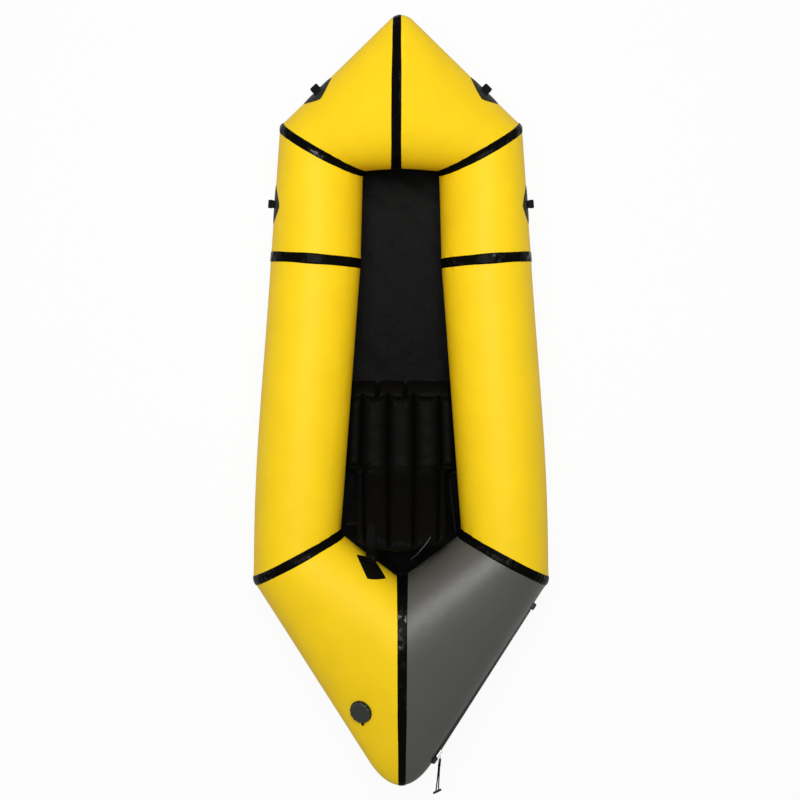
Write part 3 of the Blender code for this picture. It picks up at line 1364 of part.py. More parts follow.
def zip_frame(hull, tape):
    """A frame at the aft end of the zip, just clear of its tape: X to the corner, Z outwards."""
    aft, fore = zip_line(hull)
    start = hull.point("stern", aft, ZIP_RIDGE)
    end = hull.point("stern", fore, ZIP_RIDGE)
    facing = hull.frame("stern", (aft + fore) / 2, ZIP_RIDGE)
    frame = frame_at(start, end - start, facing.col[2][:3])
    tree = tree_of(tape)
    out = frame.col[2].to_3d()
    highest = 0.0
    for x in np.linspace(ZIP_TAPE_THICKNESS, ZIP_LENGTH - ZIP_TAPE_THICKNESS, ZIP_SAMPLES):
        for y in (-ZIP_END_WIDTH / 2, 0.0, ZIP_END_WIDTH / 2):
            hit = tree.ray_cast(frame @ Vector((x, y, DRAPE_REACH)), -out, 2 * DRAPE_REACH)
            if hit[0] is not None:
                highest = max(highest, DRAPE_REACH - hit[3])
    frame.translation += out * (highest + GAP)
    return frame


def make_zip_tape(hull):
    """The fabric tape under the zip, bent with the hull's ridges on either side of its facet."""
    aft, fore = zip_line(hull)
    shares = [share for share in np.linspace(aft, fore, ZIP_TAPE_ROWS)]
    shares.append((1 + STERN_NOSE_WIDTH / STERN_CORNER_OUTER[0]) / 2)
    shares.sort()
    tree = tree_of(bpy.data.objects["stern_panel_right"])
    grids = []
    for lift in (SEAT_ON_SKIN, SEAT_ON_SKIN + ZIP_TAPE_THICKNESS):
        rows = []
        for share in shares:
            half = ZIP_TAPE_HALF_WIDTH / hull.ridge_step("stern", share, ZIP_RIDGE)
            inner = min(ZIP_RIDGE, half * 0.9)
            row = []
            for k in (-half, -inner, 0.0, inner, half):
                low = hull.point("stern", share, ZIP_RIDGE + k)
                out = unit(hull.point("stern", share, ZIP_RIDGE + k, DRAPE_REACH) - low)
                row.append(draped(tree, low, out, lift))
            rows.append(row)
        grids.append(rows)
    return add_skin("zip_tape", grids[0], grids[1], BLACK_FABRIC)


def make_zip_chain(frame):
    """The row of moulded teeth between the two ends."""
    start = ZIP_END_LENGTH + SLIDER_CLEARANCE
    end = ZIP_LENGTH - ZIP_END_LENGTH - SLIDER_CLEARANCE
    teeth = int((end - start) / ZIP_TOOTH_PITCH)
    half = ZIP_CHAIN_WIDTH / 2
    sections = []
    for i in range(2 * teeth + 1):
        x = start + (end - start) * i / (2 * teeth)
        height = ZIP_CHAIN_HEIGHT * (1 if i % 2 else ZIP_VALLEY_SHARE)
        crest = half * ZIP_CREST_SHARE
        outline = [(-half, 0.0), (half, 0.0), (crest, height), (-crest, height)]
        sections.append([tuple(frame @ Vector((x, y, z))) for y, z in outline])
    add_loft("zip_teeth", sections, BLACK_PLASTIC)


def make_zip_end(name, frame, low_x, high_x):
    """A moulded block at one end of the teeth, rounded over its top."""
    half = ZIP_END_WIDTH / 2
    shoulder = ZIP_END_HEIGHT / 2
    outline = [
        (-half, 0.0), (half, 0.0), (half, shoulder), (half / 2, ZIP_END_HEIGHT),
        (-half / 2, ZIP_END_HEIGHT), (-half, shoulder),
    ]
    sections = []
    for x, share in ((low_x, 0.7), (low_x + shoulder, 1.0), (high_x - shoulder, 1.0), (high_x, 0.7)):
        sections.append([tuple(frame @ Vector((x, y * share, z * share))) for y, z in outline])
    add_loft(name, sections, BLACK_PLASTIC)


def slider_middle():
    """The slider's middle and the top of its body, in the zip's frame."""
    middle = ZIP_END_LENGTH + 2 * SLIDER_CLEARANCE + SLIDER_LENGTH / 2
    return middle, ZIP_CHAIN_HEIGHT + SLIDER_CLEARANCE + SLIDER_WALL


def make_slider(frame):
    """The metal slider: a saddle over the teeth with a bridge for its pull."""
    middle, top = slider_middle()
    inner = ZIP_CHAIN_WIDTH / 2 + SLIDER_CLEARANCE
    outer = inner + SLIDER_WALL
    low = SLIDER_CLEARANCE
    inside = ZIP_CHAIN_HEIGHT + SLIDER_CLEARANCE
    outline = [
        (-outer, low), (-inner, low), (-inner, inside), (inner, inside), (inner, low),
        (outer, low), (outer, top - SLIDER_WALL / 2), (outer - SLIDER_WALL / 2, top),
        (-outer + SLIDER_WALL / 2, top), (-outer, top - SLIDER_WALL / 2),
    ]
    half = SLIDER_LENGTH / 2
    sections = [[(x, y, z) for y, z in outline] for x in (-half, half)]
    body = add_loft("zip_slider", sections, PALE_METAL)
    foot = BRIDGE_LENGTH / 2
    crown = foot - BRIDGE_BAR
    path = [
        (-foot, top - BRIDGE_BAR / 2), (-foot, top + BRIDGE_HEIGHT - BRIDGE_BAR),
        (-crown, top + BRIDGE_HEIGHT), (crown, top + BRIDGE_HEIGHT),
        (foot, top + BRIDGE_HEIGHT - BRIDGE_BAR), (foot, top - BRIDGE_BAR / 2),
    ]
    arch = strip_outline(path, -BRIDGE_BAR)
    across = BRIDGE_WIDTH / 2
    bridge = add_loft("bridge", [[(x, y, z) for x, z in arch] for y in (-across, across)], PALE_METAL)
    combine(body, bridge, "UNION")
    body.matrix_world = frame @ Matrix.Translation((middle, 0.0, 0.0))
    return body


def pull_frame(frame):
    """The pull's frame on its hinge in the bridge: X out along the pull, Y along the hinge."""
    middle, top = slider_middle()
    angle = math.radians(PULL_ANGLE_DEG)
    hinge_x = middle - BRIDGE_LENGTH / 2 + BRIDGE_BAR + PULL_RING_WIRE + SLIDER_CLEARANCE
    hinge_z = top + (BRIDGE_HEIGHT - BRIDGE_BAR) / 2
    turn = Matrix((
        (-math.cos(angle), 0.0, -math.sin(angle), hinge_x),
        (0.0, 1.0, 0.0, 0.0),
        (math.sin(angle), 0.0, -math.cos(angle), hinge_z),
        (0.0, 0.0, 0.0, 1.0),
    ))
    return frame @ turn


def make_pull(frame):
    """The pull: a wire ring through the bridge, a doubled cord and a toggle at its end."""
    hinge = pull_frame(frame)
    half = PULL_RING_WIDTH / 2
    corner = PULL_RING_WIDTH / 4
    route = []
    for sign_x, sign_y in ((0, -1), (1, -1), (1, 1), (0, 1)):
        at_x = corner if sign_x == 0 else PULL_RING_LENGTH - corner
        at_y = sign_y * (half - corner)
        begin = {(0, -1): 180, (1, -1): 270, (1, 1): 0, (0, 1): 90}[(sign_x, sign_y)]
        for k in range(4):
            turn = math.radians(begin + 30 * k)
            route.append((at_x + corner * math.cos(turn), at_y + corner * math.sin(turn), 0.0))
    ring = add_tube("zip_pull_ring", route, PULL_RING_WIRE, PALE_METAL, closed=True, frame=hinge)
    far = hinge @ Matrix.Translation((PULL_RING_LENGTH, 0.0, 0.0))
    half_route = list(PULL_CORD_ROUTE)
    other_half = [(x, y, -z) for x, y, z in half_route[-2::-1]]
    cord = [tuple(far @ Vector(point)) for point in half_route + other_half]
    add_tube("zip_pull_cord", smooth_route(cord, PULL_CORD_POINTS), PULL_CORD_RADIUS, BLACK_WEBBING)
    last = np.array(PULL_CORD_ROUTE[0])
    heading = unit(last - np.array(PULL_CORD_ROUTE[1]))
    centre = last + heading * (TOGGLE_RADIUS + GAP)
    at = far @ Vector((centre[0], centre[1], 0.0))
    toggle_at = frame_at(at, far.col[0][:3], far.col[2][:3])
    end = TOGGLE_LENGTH / 2
    waist = TOGGLE_RADIUS
    add_turned("zip_pull_toggle", [
        (0.0, -end), (waist / 2, -end), (waist, -end + waist), (waist, end - waist),
        (waist / 2, end), (0.0, end),
    ], SMALL_SIDES, BLACK_PLASTIC, frame=toggle_at)
    return ring


def make_zip(hull):
    """The zip that opens the hull for stowing gear, on the starboard stern panel."""
    frame = zip_frame(hull, make_zip_tape(hull))
    make_zip_chain(frame)
    make_zip_end("zip_docking_end", frame, 0.0, ZIP_END_LENGTH)
    make_zip_end("zip_end_stop", frame, ZIP_LENGTH - ZIP_END_LENGTH, ZIP_LENGTH)
    make_slider(frame)
    make_pull(frame)


def main():
    clear_scene()
    hull = Hull()
    make_panels(hull)
    make_tapes(hull)
    make_floor(hull)
    make_floor_edge_tape(hull)
    make_tiedowns(hull)
    make_seat_base()
    backrest = make_backrest()
    make_skirt()
    make_straps(hull)
    make_oral_tube(hull, bpy.data.objects["side_panel_right"])
    make_seat_valve(backrest)
    make_main_valve(hull, bpy.data.objects["stern_panel_left"])
    make_zip(hull)


main()
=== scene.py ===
"""Looks of an inflated packraft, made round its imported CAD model.

The frame has +Y to the bow, +X to starboard and +Z up; lengths are in metres. Fabric forms are
functions of two parameters on a grid. The hull's form is drawn for starboard and mirrored to port.
"""

import logging
import math
from dataclasses import dataclass, field
from enum import Enum
from typing import Any

import bmesh
import bpy
import numpy as np
from mathutils import Matrix, Vector
from numpy.typing import NDArray


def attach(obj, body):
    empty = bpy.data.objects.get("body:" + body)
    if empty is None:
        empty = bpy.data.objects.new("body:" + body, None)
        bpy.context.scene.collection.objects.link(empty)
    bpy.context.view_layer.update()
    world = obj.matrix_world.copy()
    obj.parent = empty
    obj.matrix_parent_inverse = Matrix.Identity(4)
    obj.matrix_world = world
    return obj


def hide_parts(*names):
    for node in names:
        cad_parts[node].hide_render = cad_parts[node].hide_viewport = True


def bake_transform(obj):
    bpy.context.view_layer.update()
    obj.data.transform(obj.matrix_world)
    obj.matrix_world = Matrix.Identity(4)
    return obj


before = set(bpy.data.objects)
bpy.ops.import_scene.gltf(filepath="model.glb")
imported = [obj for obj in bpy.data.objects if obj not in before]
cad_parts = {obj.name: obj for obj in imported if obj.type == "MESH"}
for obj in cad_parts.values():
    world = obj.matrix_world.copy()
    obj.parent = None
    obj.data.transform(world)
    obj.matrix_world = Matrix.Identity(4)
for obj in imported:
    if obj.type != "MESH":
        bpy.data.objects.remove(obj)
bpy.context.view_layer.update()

Array = NDArray[np.float64]
log = logging.getLogger("packraft")

WEBBING_WIDTH = 0.025
WEBBING_THICKNESS = 0.0015
HULL_BOTTOM = 0.0032
TUBE_RADIUS = 0.134
FACET = 2 * math.pi / 28  # between two of the lines round a CAD tube
LOWEST_TURN = 3 * math.pi / 2
UP = np.array([0.0, 0.0, 1.0])


class Hand(Enum):
    """The side of the boat that a piece is on."""

    PORT = "left"
    STARBOARD = "right"

    def turned(self, points: Array) -> Array:
        """The points themselves for starboard, or their mirror image for port."""
        return points * np.array([-1.0, 1.0, 1.0]) if self is Hand.PORT else points


class Body(Enum):
    """The CAD bodies that pieces ride on."""

    HULL = "hull"
    BACKREST = "backrest"
    ZIP_PULL = "zip_pull"


def unit(vectors: Array) -> Array:
    """Each vector divided by its length."""
    return vectors / np.maximum(np.linalg.norm(vectors, axis=-1, keepdims=True), 1e-12)


def smooth(low: float, high: float, x: Array) -> Array:
    """The cubic 3t^2 - 2t^3 of x's place between low and high, held at 0 and 1 outside."""
    t = np.clip((x - low) / (high - low), 0.0, 1.0)
    return t * t * (3 - 2 * t)


@dataclass(frozen=True)
class Ripples:
    """Cloth ripples: a sum of cosines with seeded directions, wavelengths and phases.

    Each wave is cos(2 pi (u cos a + v sin a) / w + p), with w between the two wavelengths and a
    within the spread of the main direction; the sum is divided by the root of their count.
    """

    seed: int
    shortest: float
    longest: float
    direction: float = 0.0
    spread: float = math.pi
    count: int = 14

    def height(self, u: Array, v: Array) -> Array:
        """The ripples' height at places on the cloth.

        Args:
            u: Places along the first direction.
            v: Places along the second direction.

        Returns:
            Heights of about -1 to 1.
        """
        random = np.random.default_rng(self.seed)
        total = np.zeros(np.broadcast(u, v).shape)
        for _ in range(self.count):
            angle = self.direction + self.spread * random.uniform(-0.5, 0.5)
            wave = random.uniform(self.shortest, self.longest)
            phase = random.uniform(0.0, 2 * math.pi)
            total = total + np.cos(2 * math.pi * (u * math.cos(angle) + v * math.sin(angle)) / wave + phase)
        return total / math.sqrt(self.count)


def normals_of(points: Array, wrap: bool = False) -> Array:
    """Unit normals of a grid: the cross product of its two central differences.

    Args:
        points: Grid of points, rows by columns by 3.
        wrap: Whether the last column joins the first.

    Returns:
        A normal for each point.
    """
    rows = np.gradient(points, axis=0)
    if wrap:
        columns = np.roll(points, -1, axis=1) - np.roll(points, 1, axis=1)
    else:
        columns = np.gradient(points, axis=1)
    return unit(np.cross(rows, columns))


def softened(points: Array, passes: int) -> Array:
    """The grid's inner rows averaged with their neighbours by weights 1, 2, 1, some times over."""
    out = points.copy()
    for _ in range(passes):
        out[1:-1] = (out[:-2] + 2 * out[1:-1] + out[2:]) / 4
    return out


def arc_lengths(points: Array, axis: int) -> Array:
    """Mean distances along one axis of a grid, counted from its first row or column."""
    steps = np.linalg.norm(np.diff(points, axis=axis), axis=2).mean(axis=1 - axis)
    return np.concatenate([[0.0], np.cumsum(steps)])


def mesh_piece(name: str, points: Array, quads: NDArray[np.int64], uvs: Array | None = None,
               weld: bool = False) -> bpy.types.Object:
    """A mesh object made from whole arrays, at the origin.

    Args:
        name: The piece's name.
        points: Vertices, n by 3.
        quads: Vertex numbers of the faces, m by 4.
        uvs: Places on the cloth in metres for each face corner, 4m by 2.
        weld: Whether coincident vertices are merged, as at a pole.

    Returns:
        The new object.
    """
    mesh = bpy.data.meshes.new(name)
    mesh.vertices.add(len(points))
    mesh.vertices.foreach_set("co", np.ascontiguousarray(points, np.float32).ravel())
    mesh.loops.add(quads.size)
    mesh.loops.foreach_set("vertex_index", np.ascontiguousarray(quads, np.int32).ravel())
    mesh.polygons.add(len(quads))
    mesh.polygons.foreach_set("loop_start", np.arange(0, quads.size, 4, dtype=np.int32))
    mesh.polygons.foreach_set("use_smooth", np.ones(len(quads), bool))
    if uvs is not None:
        layer = mesh.uv_layers.new(name="cloth")
        layer.data.foreach_set("uv", np.ascontiguousarray(uvs, np.float32).ravel())
    mesh.update(calc_edges=True)
    if weld:
        shape = bmesh.new()
        shape.from_mesh(mesh)
        bmesh.ops.remove_doubles(shape, verts=shape.verts, dist=1e-6)
        bmesh.ops.recalc_face_normals(shape, faces=shape.faces)
        shape.to_mesh(mesh)
        shape.free()
    mesh.validate()
    piece = bpy.data.objects.new(name, mesh)
    bpy.context.scene.collection.objects.link(piece)
    return piece


def grid_quads(index: NDArray[np.int64]) -> NDArray[np.int64]:
    """The quads between neighbouring rows and columns of a grid of vertex numbers."""
    corners = [index[:-1, :-1], index[1:, :-1], index[1:, 1:], index[:-1, 1:]]
    return np.stack(corners, axis=-1).reshape(-1, 4)


def closed(grid: NDArray[Any]) -> NDArray[Any]:
    """The grid with its first column once more after its last."""
    return np.concatenate([grid, grid[:, :1]], axis=1)


def numbered(grid: Array) -> NDArray[np.int64]:
    """Vertex numbers for a grid of points."""
    return np.arange(grid.shape[0] * grid.shape[1]).reshape(grid.shape[:2])


def cloth_places(grid: Array) -> Array:
    """Each point's place on the cloth: the mean distances along and across the grid."""
    places = np.meshgrid(arc_lengths(grid, 0), arc_lengths(grid, 1), indexing="ij")
    return np.stack(places, axis=-1).reshape(-1, 2)


def shell(name: str, outer: Array, inner: Array, wrap: bool = False, weld: bool = False) -> bpy.types.Object:
    """A closed skin: an outer and an inner grid, joined by rims along their free edges.

    Args:
        name: The piece's name.
        outer: The outer grid, rows by columns by 3.
        inner: The inner grid, of the same shape.
        wrap: Whether the last column joins the first.
        weld: Whether coincident vertices are merged.

    Returns:
        The new object, its faces outwards.
    """
    index, around = numbered(outer), outer
    count = index.size
    if wrap:
        index, around = closed(index), closed(outer)
    numbers, flat = numbered(around), cloth_places(around)
    top, top_uv = grid_quads(index), flat[grid_quads(numbers)]
    faces = [top, top[:, ::-1] + count]
    uvs = [top_uv, top_uv[:, ::-1]]
    borders = [(index[0], numbers[0]), (index[-1][::-1], numbers[-1][::-1])]
    if not wrap:
        borders += [(index[:, 0][::-1], numbers[:, 0][::-1]), (index[:, -1], numbers[:, -1])]
    for path, labels in borders:
        faces.append(np.stack([path[:-1], path[1:], path[1:] + count, path[:-1] + count], axis=-1))
        uvs.append(flat[np.stack([labels[:-1], labels[1:], labels[1:], labels[:-1]], axis=-1)])
    quads, corners = np.concatenate(faces), np.concatenate(uvs)
    facing = (normals_of(outer, wrap) * (outer - inner)).sum()
    if facing < 0:
        quads, corners = quads[:, ::-1], corners[:, ::-1]
    points = np.concatenate([outer.reshape(-1, 3), inner.reshape(-1, 3)])
    return mesh_piece(name, points, quads, corners.reshape(-1, 2), weld)


def loft(name: str, sections: Array) -> bpy.types.Object:
    """A solid through closed sections, its ends closed by fans to their middles.

    Args:
        name: The piece's name.
        sections: Closed rings of points, count by points by 3.

    Returns:
        The new object.
    """
    ends = [np.repeat(ring.mean(axis=0)[None, None], sections.shape[1], axis=1) for ring in sections[[0, -1]]]
    grid = np.concatenate([ends[0], sections, ends[1]])
    around = closed(grid)
    uvs = cloth_places(around)[grid_quads(numbered(around))]
    return mesh_piece(name, grid.reshape(-1, 3), grid_quads(closed(numbered(grid))), uvs.reshape(-1, 2), weld=True)


def flat_band(name: str, path: Array, across: Array, width: float, thickness: float) -> bpy.types.Object:
    """Webbing laid along a path: a rounded flat section, swept without twist.

    The section is a superellipse, (w/2 sign(cos f)|cos f|^0.3, t/2 sign(sin f)|sin f|^0.6).

    Args:
        name: The piece's name.
        path: Middle line, n by 3.
        across: Unit directions across the band, 3 or n by 3.
        width: Its width.
        thickness: Its thickness.

    Returns:
        The new object.
    """
    across = np.broadcast_to(across, path.shape)
    normal = unit(np.cross(np.gradient(path, axis=0), across))
    turn = np.linspace(0.0, 2 * math.pi, 24, endpoint=False)
    wide = width / 2 * np.sign(np.cos(turn)) * np.abs(np.cos(turn)) ** 0.3
    high = thickness / 2 * np.sign(np.sin(turn)) * np.abs(np.sin(turn)) ** 0.6
    sections = path[:, None] + across[:, None] * wide[None, :, None] + normal[:, None] * high[None, :, None]
    return loft(name, sections)


def turned(name: str, profile: Array, sides: int, origin: Array, axis: Array,
           flattening: float = 0.0) -> bpy.types.Object:
    """A turned piece: radius and height pairs carried round an axis.

    Args:
        name: The piece's name.
        profile: (radius, height) pairs from one pole to the other.
        sides: How many steps round.
        origin: A point of the axis at height 0.
        axis: The axis's unit direction.
        flattening: The share by which its section is wider one way and narrower the other.

    Returns:
        The new object, welded at its poles.
    """
    side = unit(np.cross(axis, np.array([0.3, 1.0, 0.1])))
    other = np.cross(axis, side)
    turn = np.linspace(0.0, 2 * math.pi, sides, endpoint=False)[None, :]
    radius = profile[:, :1] * (1 + flattening * np.cos(2 * turn))
    points = origin + profile[:, 1][:, None, None] * axis
    points = points + radius[..., None] * (np.cos(turn)[..., None] * side + np.sin(turn)[..., None] * other)
    return mesh_piece(name, points.reshape(-1, 3), grid_quads(closed(numbered(points))), weld=True)


def distances(points: Array, power: float = 1.0) -> Array:
    """Distances along a path from its start, each step raised to a power."""
    steps = np.linalg.norm(np.diff(points, axis=0), axis=1) ** power
    return np.concatenate([[0.0], np.cumsum(steps)])


def curve_through(points: Array, count: int) -> Array:
    """Evenly spaced points on the smooth curve through given ones.

    Each span is a cubic Hermite arc whose end slopes are the central differences of its knots.

    Args:
        points: The knots.
        count: How many points to return.

    Returns:
        The points, count by 3.
    """
    knots = distances(points, 0.5)
    slopes = np.gradient(points, knots, axis=0)
    fine = np.linspace(0.0, knots[-1], 20 * count)
    span = np.clip(np.searchsorted(knots, fine, side="right") - 1, 0, len(knots) - 2)
    wide = np.diff(knots)[span][:, None]
    u = (fine[:, None] - knots[span][:, None]) / wide
    curve = (2 * u**3 - 3 * u**2 + 1) * points[span] + (u**3 - 2 * u**2 + u) * wide * slopes[span]
    curve += (3 * u**2 - 2 * u**3) * points[span + 1] + (u**3 - u**2) * wide * slopes[span + 1]
    run = distances(curve)
    wanted = np.linspace(0.0, run[-1], count)
    return np.stack([np.interp(wanted, run, curve[:, k]) for k in range(3)], axis=1)


class Field:
    """A shader socket that takes part in Python expressions; each operator adds a Math node."""

    def __init__(self, shader: "Shader", socket: bpy.types.NodeSocket) -> None:
        """Wraps a socket of a shader."""
        self.shader = shader
        self.socket = socket

    def math(self, operation: str, other: "Field | float") -> "Field":
        """A Math node with this field and another value as its inputs."""
        return self.shader.node("ShaderNodeMath", {"operation": operation}, {0: self, 1: other})

    def __add__(self, other: "Field | float") -> "Field":
        """The sum."""
        return self.math("ADD", other)

    def __sub__(self, other: "Field | float") -> "Field":
        """The difference."""
        return self.math("SUBTRACT", other)

    def __mul__(self, other: "Field | float") -> "Field":
        """The product."""
        return self.math("MULTIPLY", other)

    def clipped(self, low: float, high: float) -> "Field":
        """The field held between two values."""
        return self.math("MAXIMUM", low).math("MINIMUM", high)

    def part(self, axis: int) -> "Field":
        """One part of a vector field."""
        return self.shader.node("ShaderNodeSeparateXYZ", None, {0: self}, output=axis)

    def ramp_between(self, low: float, high: float) -> "Field":
        """0 at one value and 1 at another, straight between them and held outside."""
        return ((self - low) * (1 / (high - low))).clipped(0.0, 1.0)

    def ramp(self, *stops: tuple[float, float]) -> "Field":
        """A ramp of greys at (place, grey) stops."""
        settings = {"stops": [(at, (grey, grey, grey, 1.0)) for at, grey in stops]}
        return self.shader.node("ShaderNodeValToRGB", settings, {0: self})


class Shader:
    """The node tree of a material or world, and the node that its fields feed."""

    def __init__(self, owner: bpy.types.Material | bpy.types.World, base: str = "Principled BSDF") -> None:
        """Turns on the owner's nodes and takes one of them as the base."""
        self.owner = owner
        owner.use_nodes = True
        self.tree = owner.node_tree
        self.base = self.tree.nodes[base]

    def node(self, kind: str, settings: dict[str, Any] | None = None,
             inputs: dict[Any, Any] | None = None, output: int | str = 0) -> Field:
        """Adds a node.

        Args:
            kind: The node's type.
            settings: Its properties, or the stops of a ramp, set first.
            inputs: Values or fields by the name or number of the socket.
            output: The output to return.

        Returns:
            The chosen output as a field.
        """
        made = self.tree.nodes.new(kind)
        for key, value in (settings or {}).items():
            if key != "stops":
                setattr(made, key, value)
                continue
            for element in list(made.color_ramp.elements)[1:]:
                made.color_ramp.elements.remove(element)
            made.color_ramp.elements[0].position = value[0][0]
            made.color_ramp.elements[0].color = value[0][1]
            for at, colour in value[1:]:
                made.color_ramp.elements.new(at).color = colour
        for key, value in (inputs or {}).items():
            if isinstance(value, Field):
                self.tree.links.new(value.socket, made.inputs[key])
            else:
                made.inputs[key].default_value = value
        return Field(self, made.outputs[output])

    def place(self) -> Field:
        """Object coordinates, in metres."""
        return self.node("ShaderNodeTexCoord", output="Object")

    def cloth(self) -> Field:
        """Places on the cloth from the piece's own UV map, in metres."""
        return self.node("ShaderNodeUVMap", {"uv_map": "cloth"})

    def noise(self, vector: Field, size: float, detail: float = 2.0, roughness: float = 0.5) -> Field:
        """Noise of 0 to 1 whose features are about this many metres across."""
        inputs = {"Vector": vector, "Scale": 1 / size, "Detail": detail, "Roughness": roughness}
        return self.node("ShaderNodeTexNoise", None, inputs)

    def bands(self, vector: Field, axis: str, pitch: float, distortion: float = 0.0) -> Field:
        """A sine of 0 to 1 along one axis that repeats every pitch."""
        settings = {"wave_type": "BANDS", "bands_direction": axis, "wave_profile": "SIN"}
        inputs = {"Vector": vector, "Scale": math.pi / 10 / pitch, "Distortion": distortion}
        return self.node("ShaderNodeTexWave", settings, inputs, output="Fac")

    def blend(self, share: Field, first: "Field | tuple[float, ...]", second: "Field | tuple[float, ...]") -> Field:
        """A colour between two, by a field."""
        ends = [end if isinstance(end, Field) else (*end, 1.0) for end in (first, second)]
        return self.node("ShaderNodeMix", {"data_type": "RGBA"}, {0: share, 6: ends[0], 7: ends[1]}, output=2)

    def relief(self, *layers: tuple[Field, float]) -> None:
        """Feeds the normal from heights, each with its depth in metres."""
        normal = None
        for height, depth in layers:
            inputs = {"Height": height, "Distance": depth, "Strength": 1.0}
            if normal is not None:
                inputs["Normal"] = normal
            normal = self.node("ShaderNodeBump", None, inputs)
        self.feed("Normal", normal)

    def feed(self, name: str, value: "Field | float | tuple[float, ...]") -> None:
        """Links or sets one socket of the principled shader."""
        if isinstance(value, Field):
            self.tree.links.new(value.socket, self.base.inputs[name])
        else:
            self.base.inputs[name].default_value = value


@dataclass(frozen=True)
class Finish:
    """A finish, by its colour and roughness; each kind adds its own nodes."""

    name: str
    colour: tuple[float, float, float]
    roughness: float

    def nodes(self, shader: Shader) -> None:
        """Feeds the shader's sockets; the kinds below do more."""
        shader.feed("Base Color", (*self.colour, 1.0))
        shader.feed("Roughness", self.roughness)

    def material(self) -> bpy.types.Material:
        """The finish's one material, made at its first use."""
        made = bpy.data.materials.get(self.name)
        if made is None:
            made = bpy.data.materials.new(self.name)
            self.nodes(Shader(made))
        return made

    def tinted(self, shader: Shader, size: float, depth: float) -> Field:
        """The colour, darker by up to a share in soft patches.

        Args:
            shader: The material's shader.
            size: How many metres the patches are across.
            depth: The share by which the darkest is darker.

        Returns:
            The colour field.
        """
        patches = shader.noise(shader.place(), size, 3.0).ramp((0.3, 0.0), (0.7, 1.0))
        dark = tuple(part * (1 - depth) for part in self.colour)
        return shader.blend(patches, dark, self.colour)

    def dress(self, *pieces: bpy.types.Object) -> None:
        """Gives the finish to pieces."""
        for piece in pieces:
            piece.data.materials.clear()
            piece.data.materials.append(self.material())


@dataclass(frozen=True)
class CoatedFabric(Finish):
    """Nylon with a thin coat: a fine weave under it, slack ripples and faint scuffs."""

    weave: float = 0.0007
    ripple: float = 0.0006
    shine: float = 0.15
    # share of the colour left at the stern end, a painted shade for the shaded well; 1 paints none
    painted_stern_shade: float = 1.0

    def nodes(self, shader: Shader) -> None:
        """Weave, ripples and scuffs in relief; soft patches in colour and gloss; painted shade that darkens the
        colour towards the stern.
        """
        place = shader.place()
        colour = self.tinted(shader, 0.09, 0.05)
        # painted shade: the colour falls towards the stern between y 0.75 and 0.15
        if self.painted_stern_shade < 1:
            stern = place.part(1).ramp_between(0.75, 0.15)
            colour = shader.blend(stern, colour, tuple(part * self.painted_stern_shade for part in self.colour))
        shader.feed("Base Color", colour)
        scuff = shader.noise(place, 0.012, 4.0, 0.65)
        shader.feed("Roughness", (scuff * 0.16 + (self.roughness - 0.08)).clipped(0.05, 1.0))
        threads = shader.noise(place, self.weave, 1.0)
        slack = shader.noise(place, 0.055, 2.0, 0.4)
        shader.relief((slack, self.ripple * 2), (threads, 0.00006))
        shader.feed("Specular IOR Level", self.shine)


@dataclass(frozen=True)
class SeamTape(Finish):
    """Welded tape, matt but for the small glints where the iron has rippled it."""

    def nodes(self, shader: Shader) -> None:
        """Ripples in relief, and glossy spots picked by a coarse and a fine noise."""
        place = shader.place()
        shader.feed("Base Color", self.tinted(shader, 0.03, 0.3))
        shader.feed("Roughness", (shader.noise(place, 0.02, 3.0) * 0.2 + (self.roughness - 0.1)).clipped(0.08, 1.0))
        spots = shader.noise(place, 0.085, 1.0).ramp_between(0.56, 0.66)
        spots = spots * shader.noise(place, 0.014, 2.0).ramp_between(0.48, 0.64)
        shader.feed("Coat Weight", spots * 0.75)
        shader.feed("Coat Roughness", 0.2)
        shader.feed("Specular IOR Level", 0.03)
        shader.relief((shader.noise(place, 0.012, 3.0, 0.6), 0.0014), (shader.noise(place, 0.001, 1.0), 0.00005))


@dataclass(frozen=True)
class Webbing(Finish):
    """Woven webbing: ribs across it and finer threads along it, on the piece's own UV map."""

    pitch: float = 0.0016
    # grey of a painted highlight along one edge; 0 paints none
    edge: float = 0.0

    def nodes(self, shader: Shader) -> None:
        """Ribs and threads in relief and colour; one edge may carry a painted highlight, a light grey stripe."""
        cloth = shader.cloth()
        ribs = shader.bands(cloth, "X", self.pitch, 0.6)
        threads = shader.bands(cloth, "Y", self.pitch * 0.8, 0.4)
        weave = ribs * 0.6 + threads * 0.4
        colour = shader.blend(weave, tuple(part * 0.5 for part in self.colour), self.colour)
        if self.edge > 0:
            # painted highlight: a light grey stripe along one edge, standing in for a glint on the strap
            edge_highlight = cloth.part(1).ramp_between(0.0015, 0.0010) * cloth.part(0).ramp_between(0.040, 0.044)
            colour = shader.blend(edge_highlight, colour, (self.edge, self.edge, self.edge))
        shader.feed("Base Color", colour)
        shader.feed("Roughness", self.roughness)
        shader.relief((weave, 0.0004), (shader.noise(cloth, 0.0006, 2.0), 0.0001))
        shader.feed("Specular IOR Level", 0.1)


@dataclass(frozen=True)
class Moulded(Finish):
    """Moulded plastic or rubber: a fine grain, with handling marks in its gloss."""

    grain: float = 0.0008
    depth: float = 0.00006
    shine: float = 0.3

    def nodes(self, shader: Shader) -> None:
        """Grain in relief and marks in gloss."""
        place = shader.place()
        shader.feed("Base Color", self.tinted(shader, 0.01, 0.2))
        marks = shader.noise(place, 0.006, 4.0, 0.6)
        shader.feed("Roughness", (marks * 0.2 + (self.roughness - 0.1)).clipped(0.08, 1.0))
        shader.relief((shader.noise(place, self.grain, 2.0), self.depth))
        shader.feed("Specular IOR Level", self.shine)


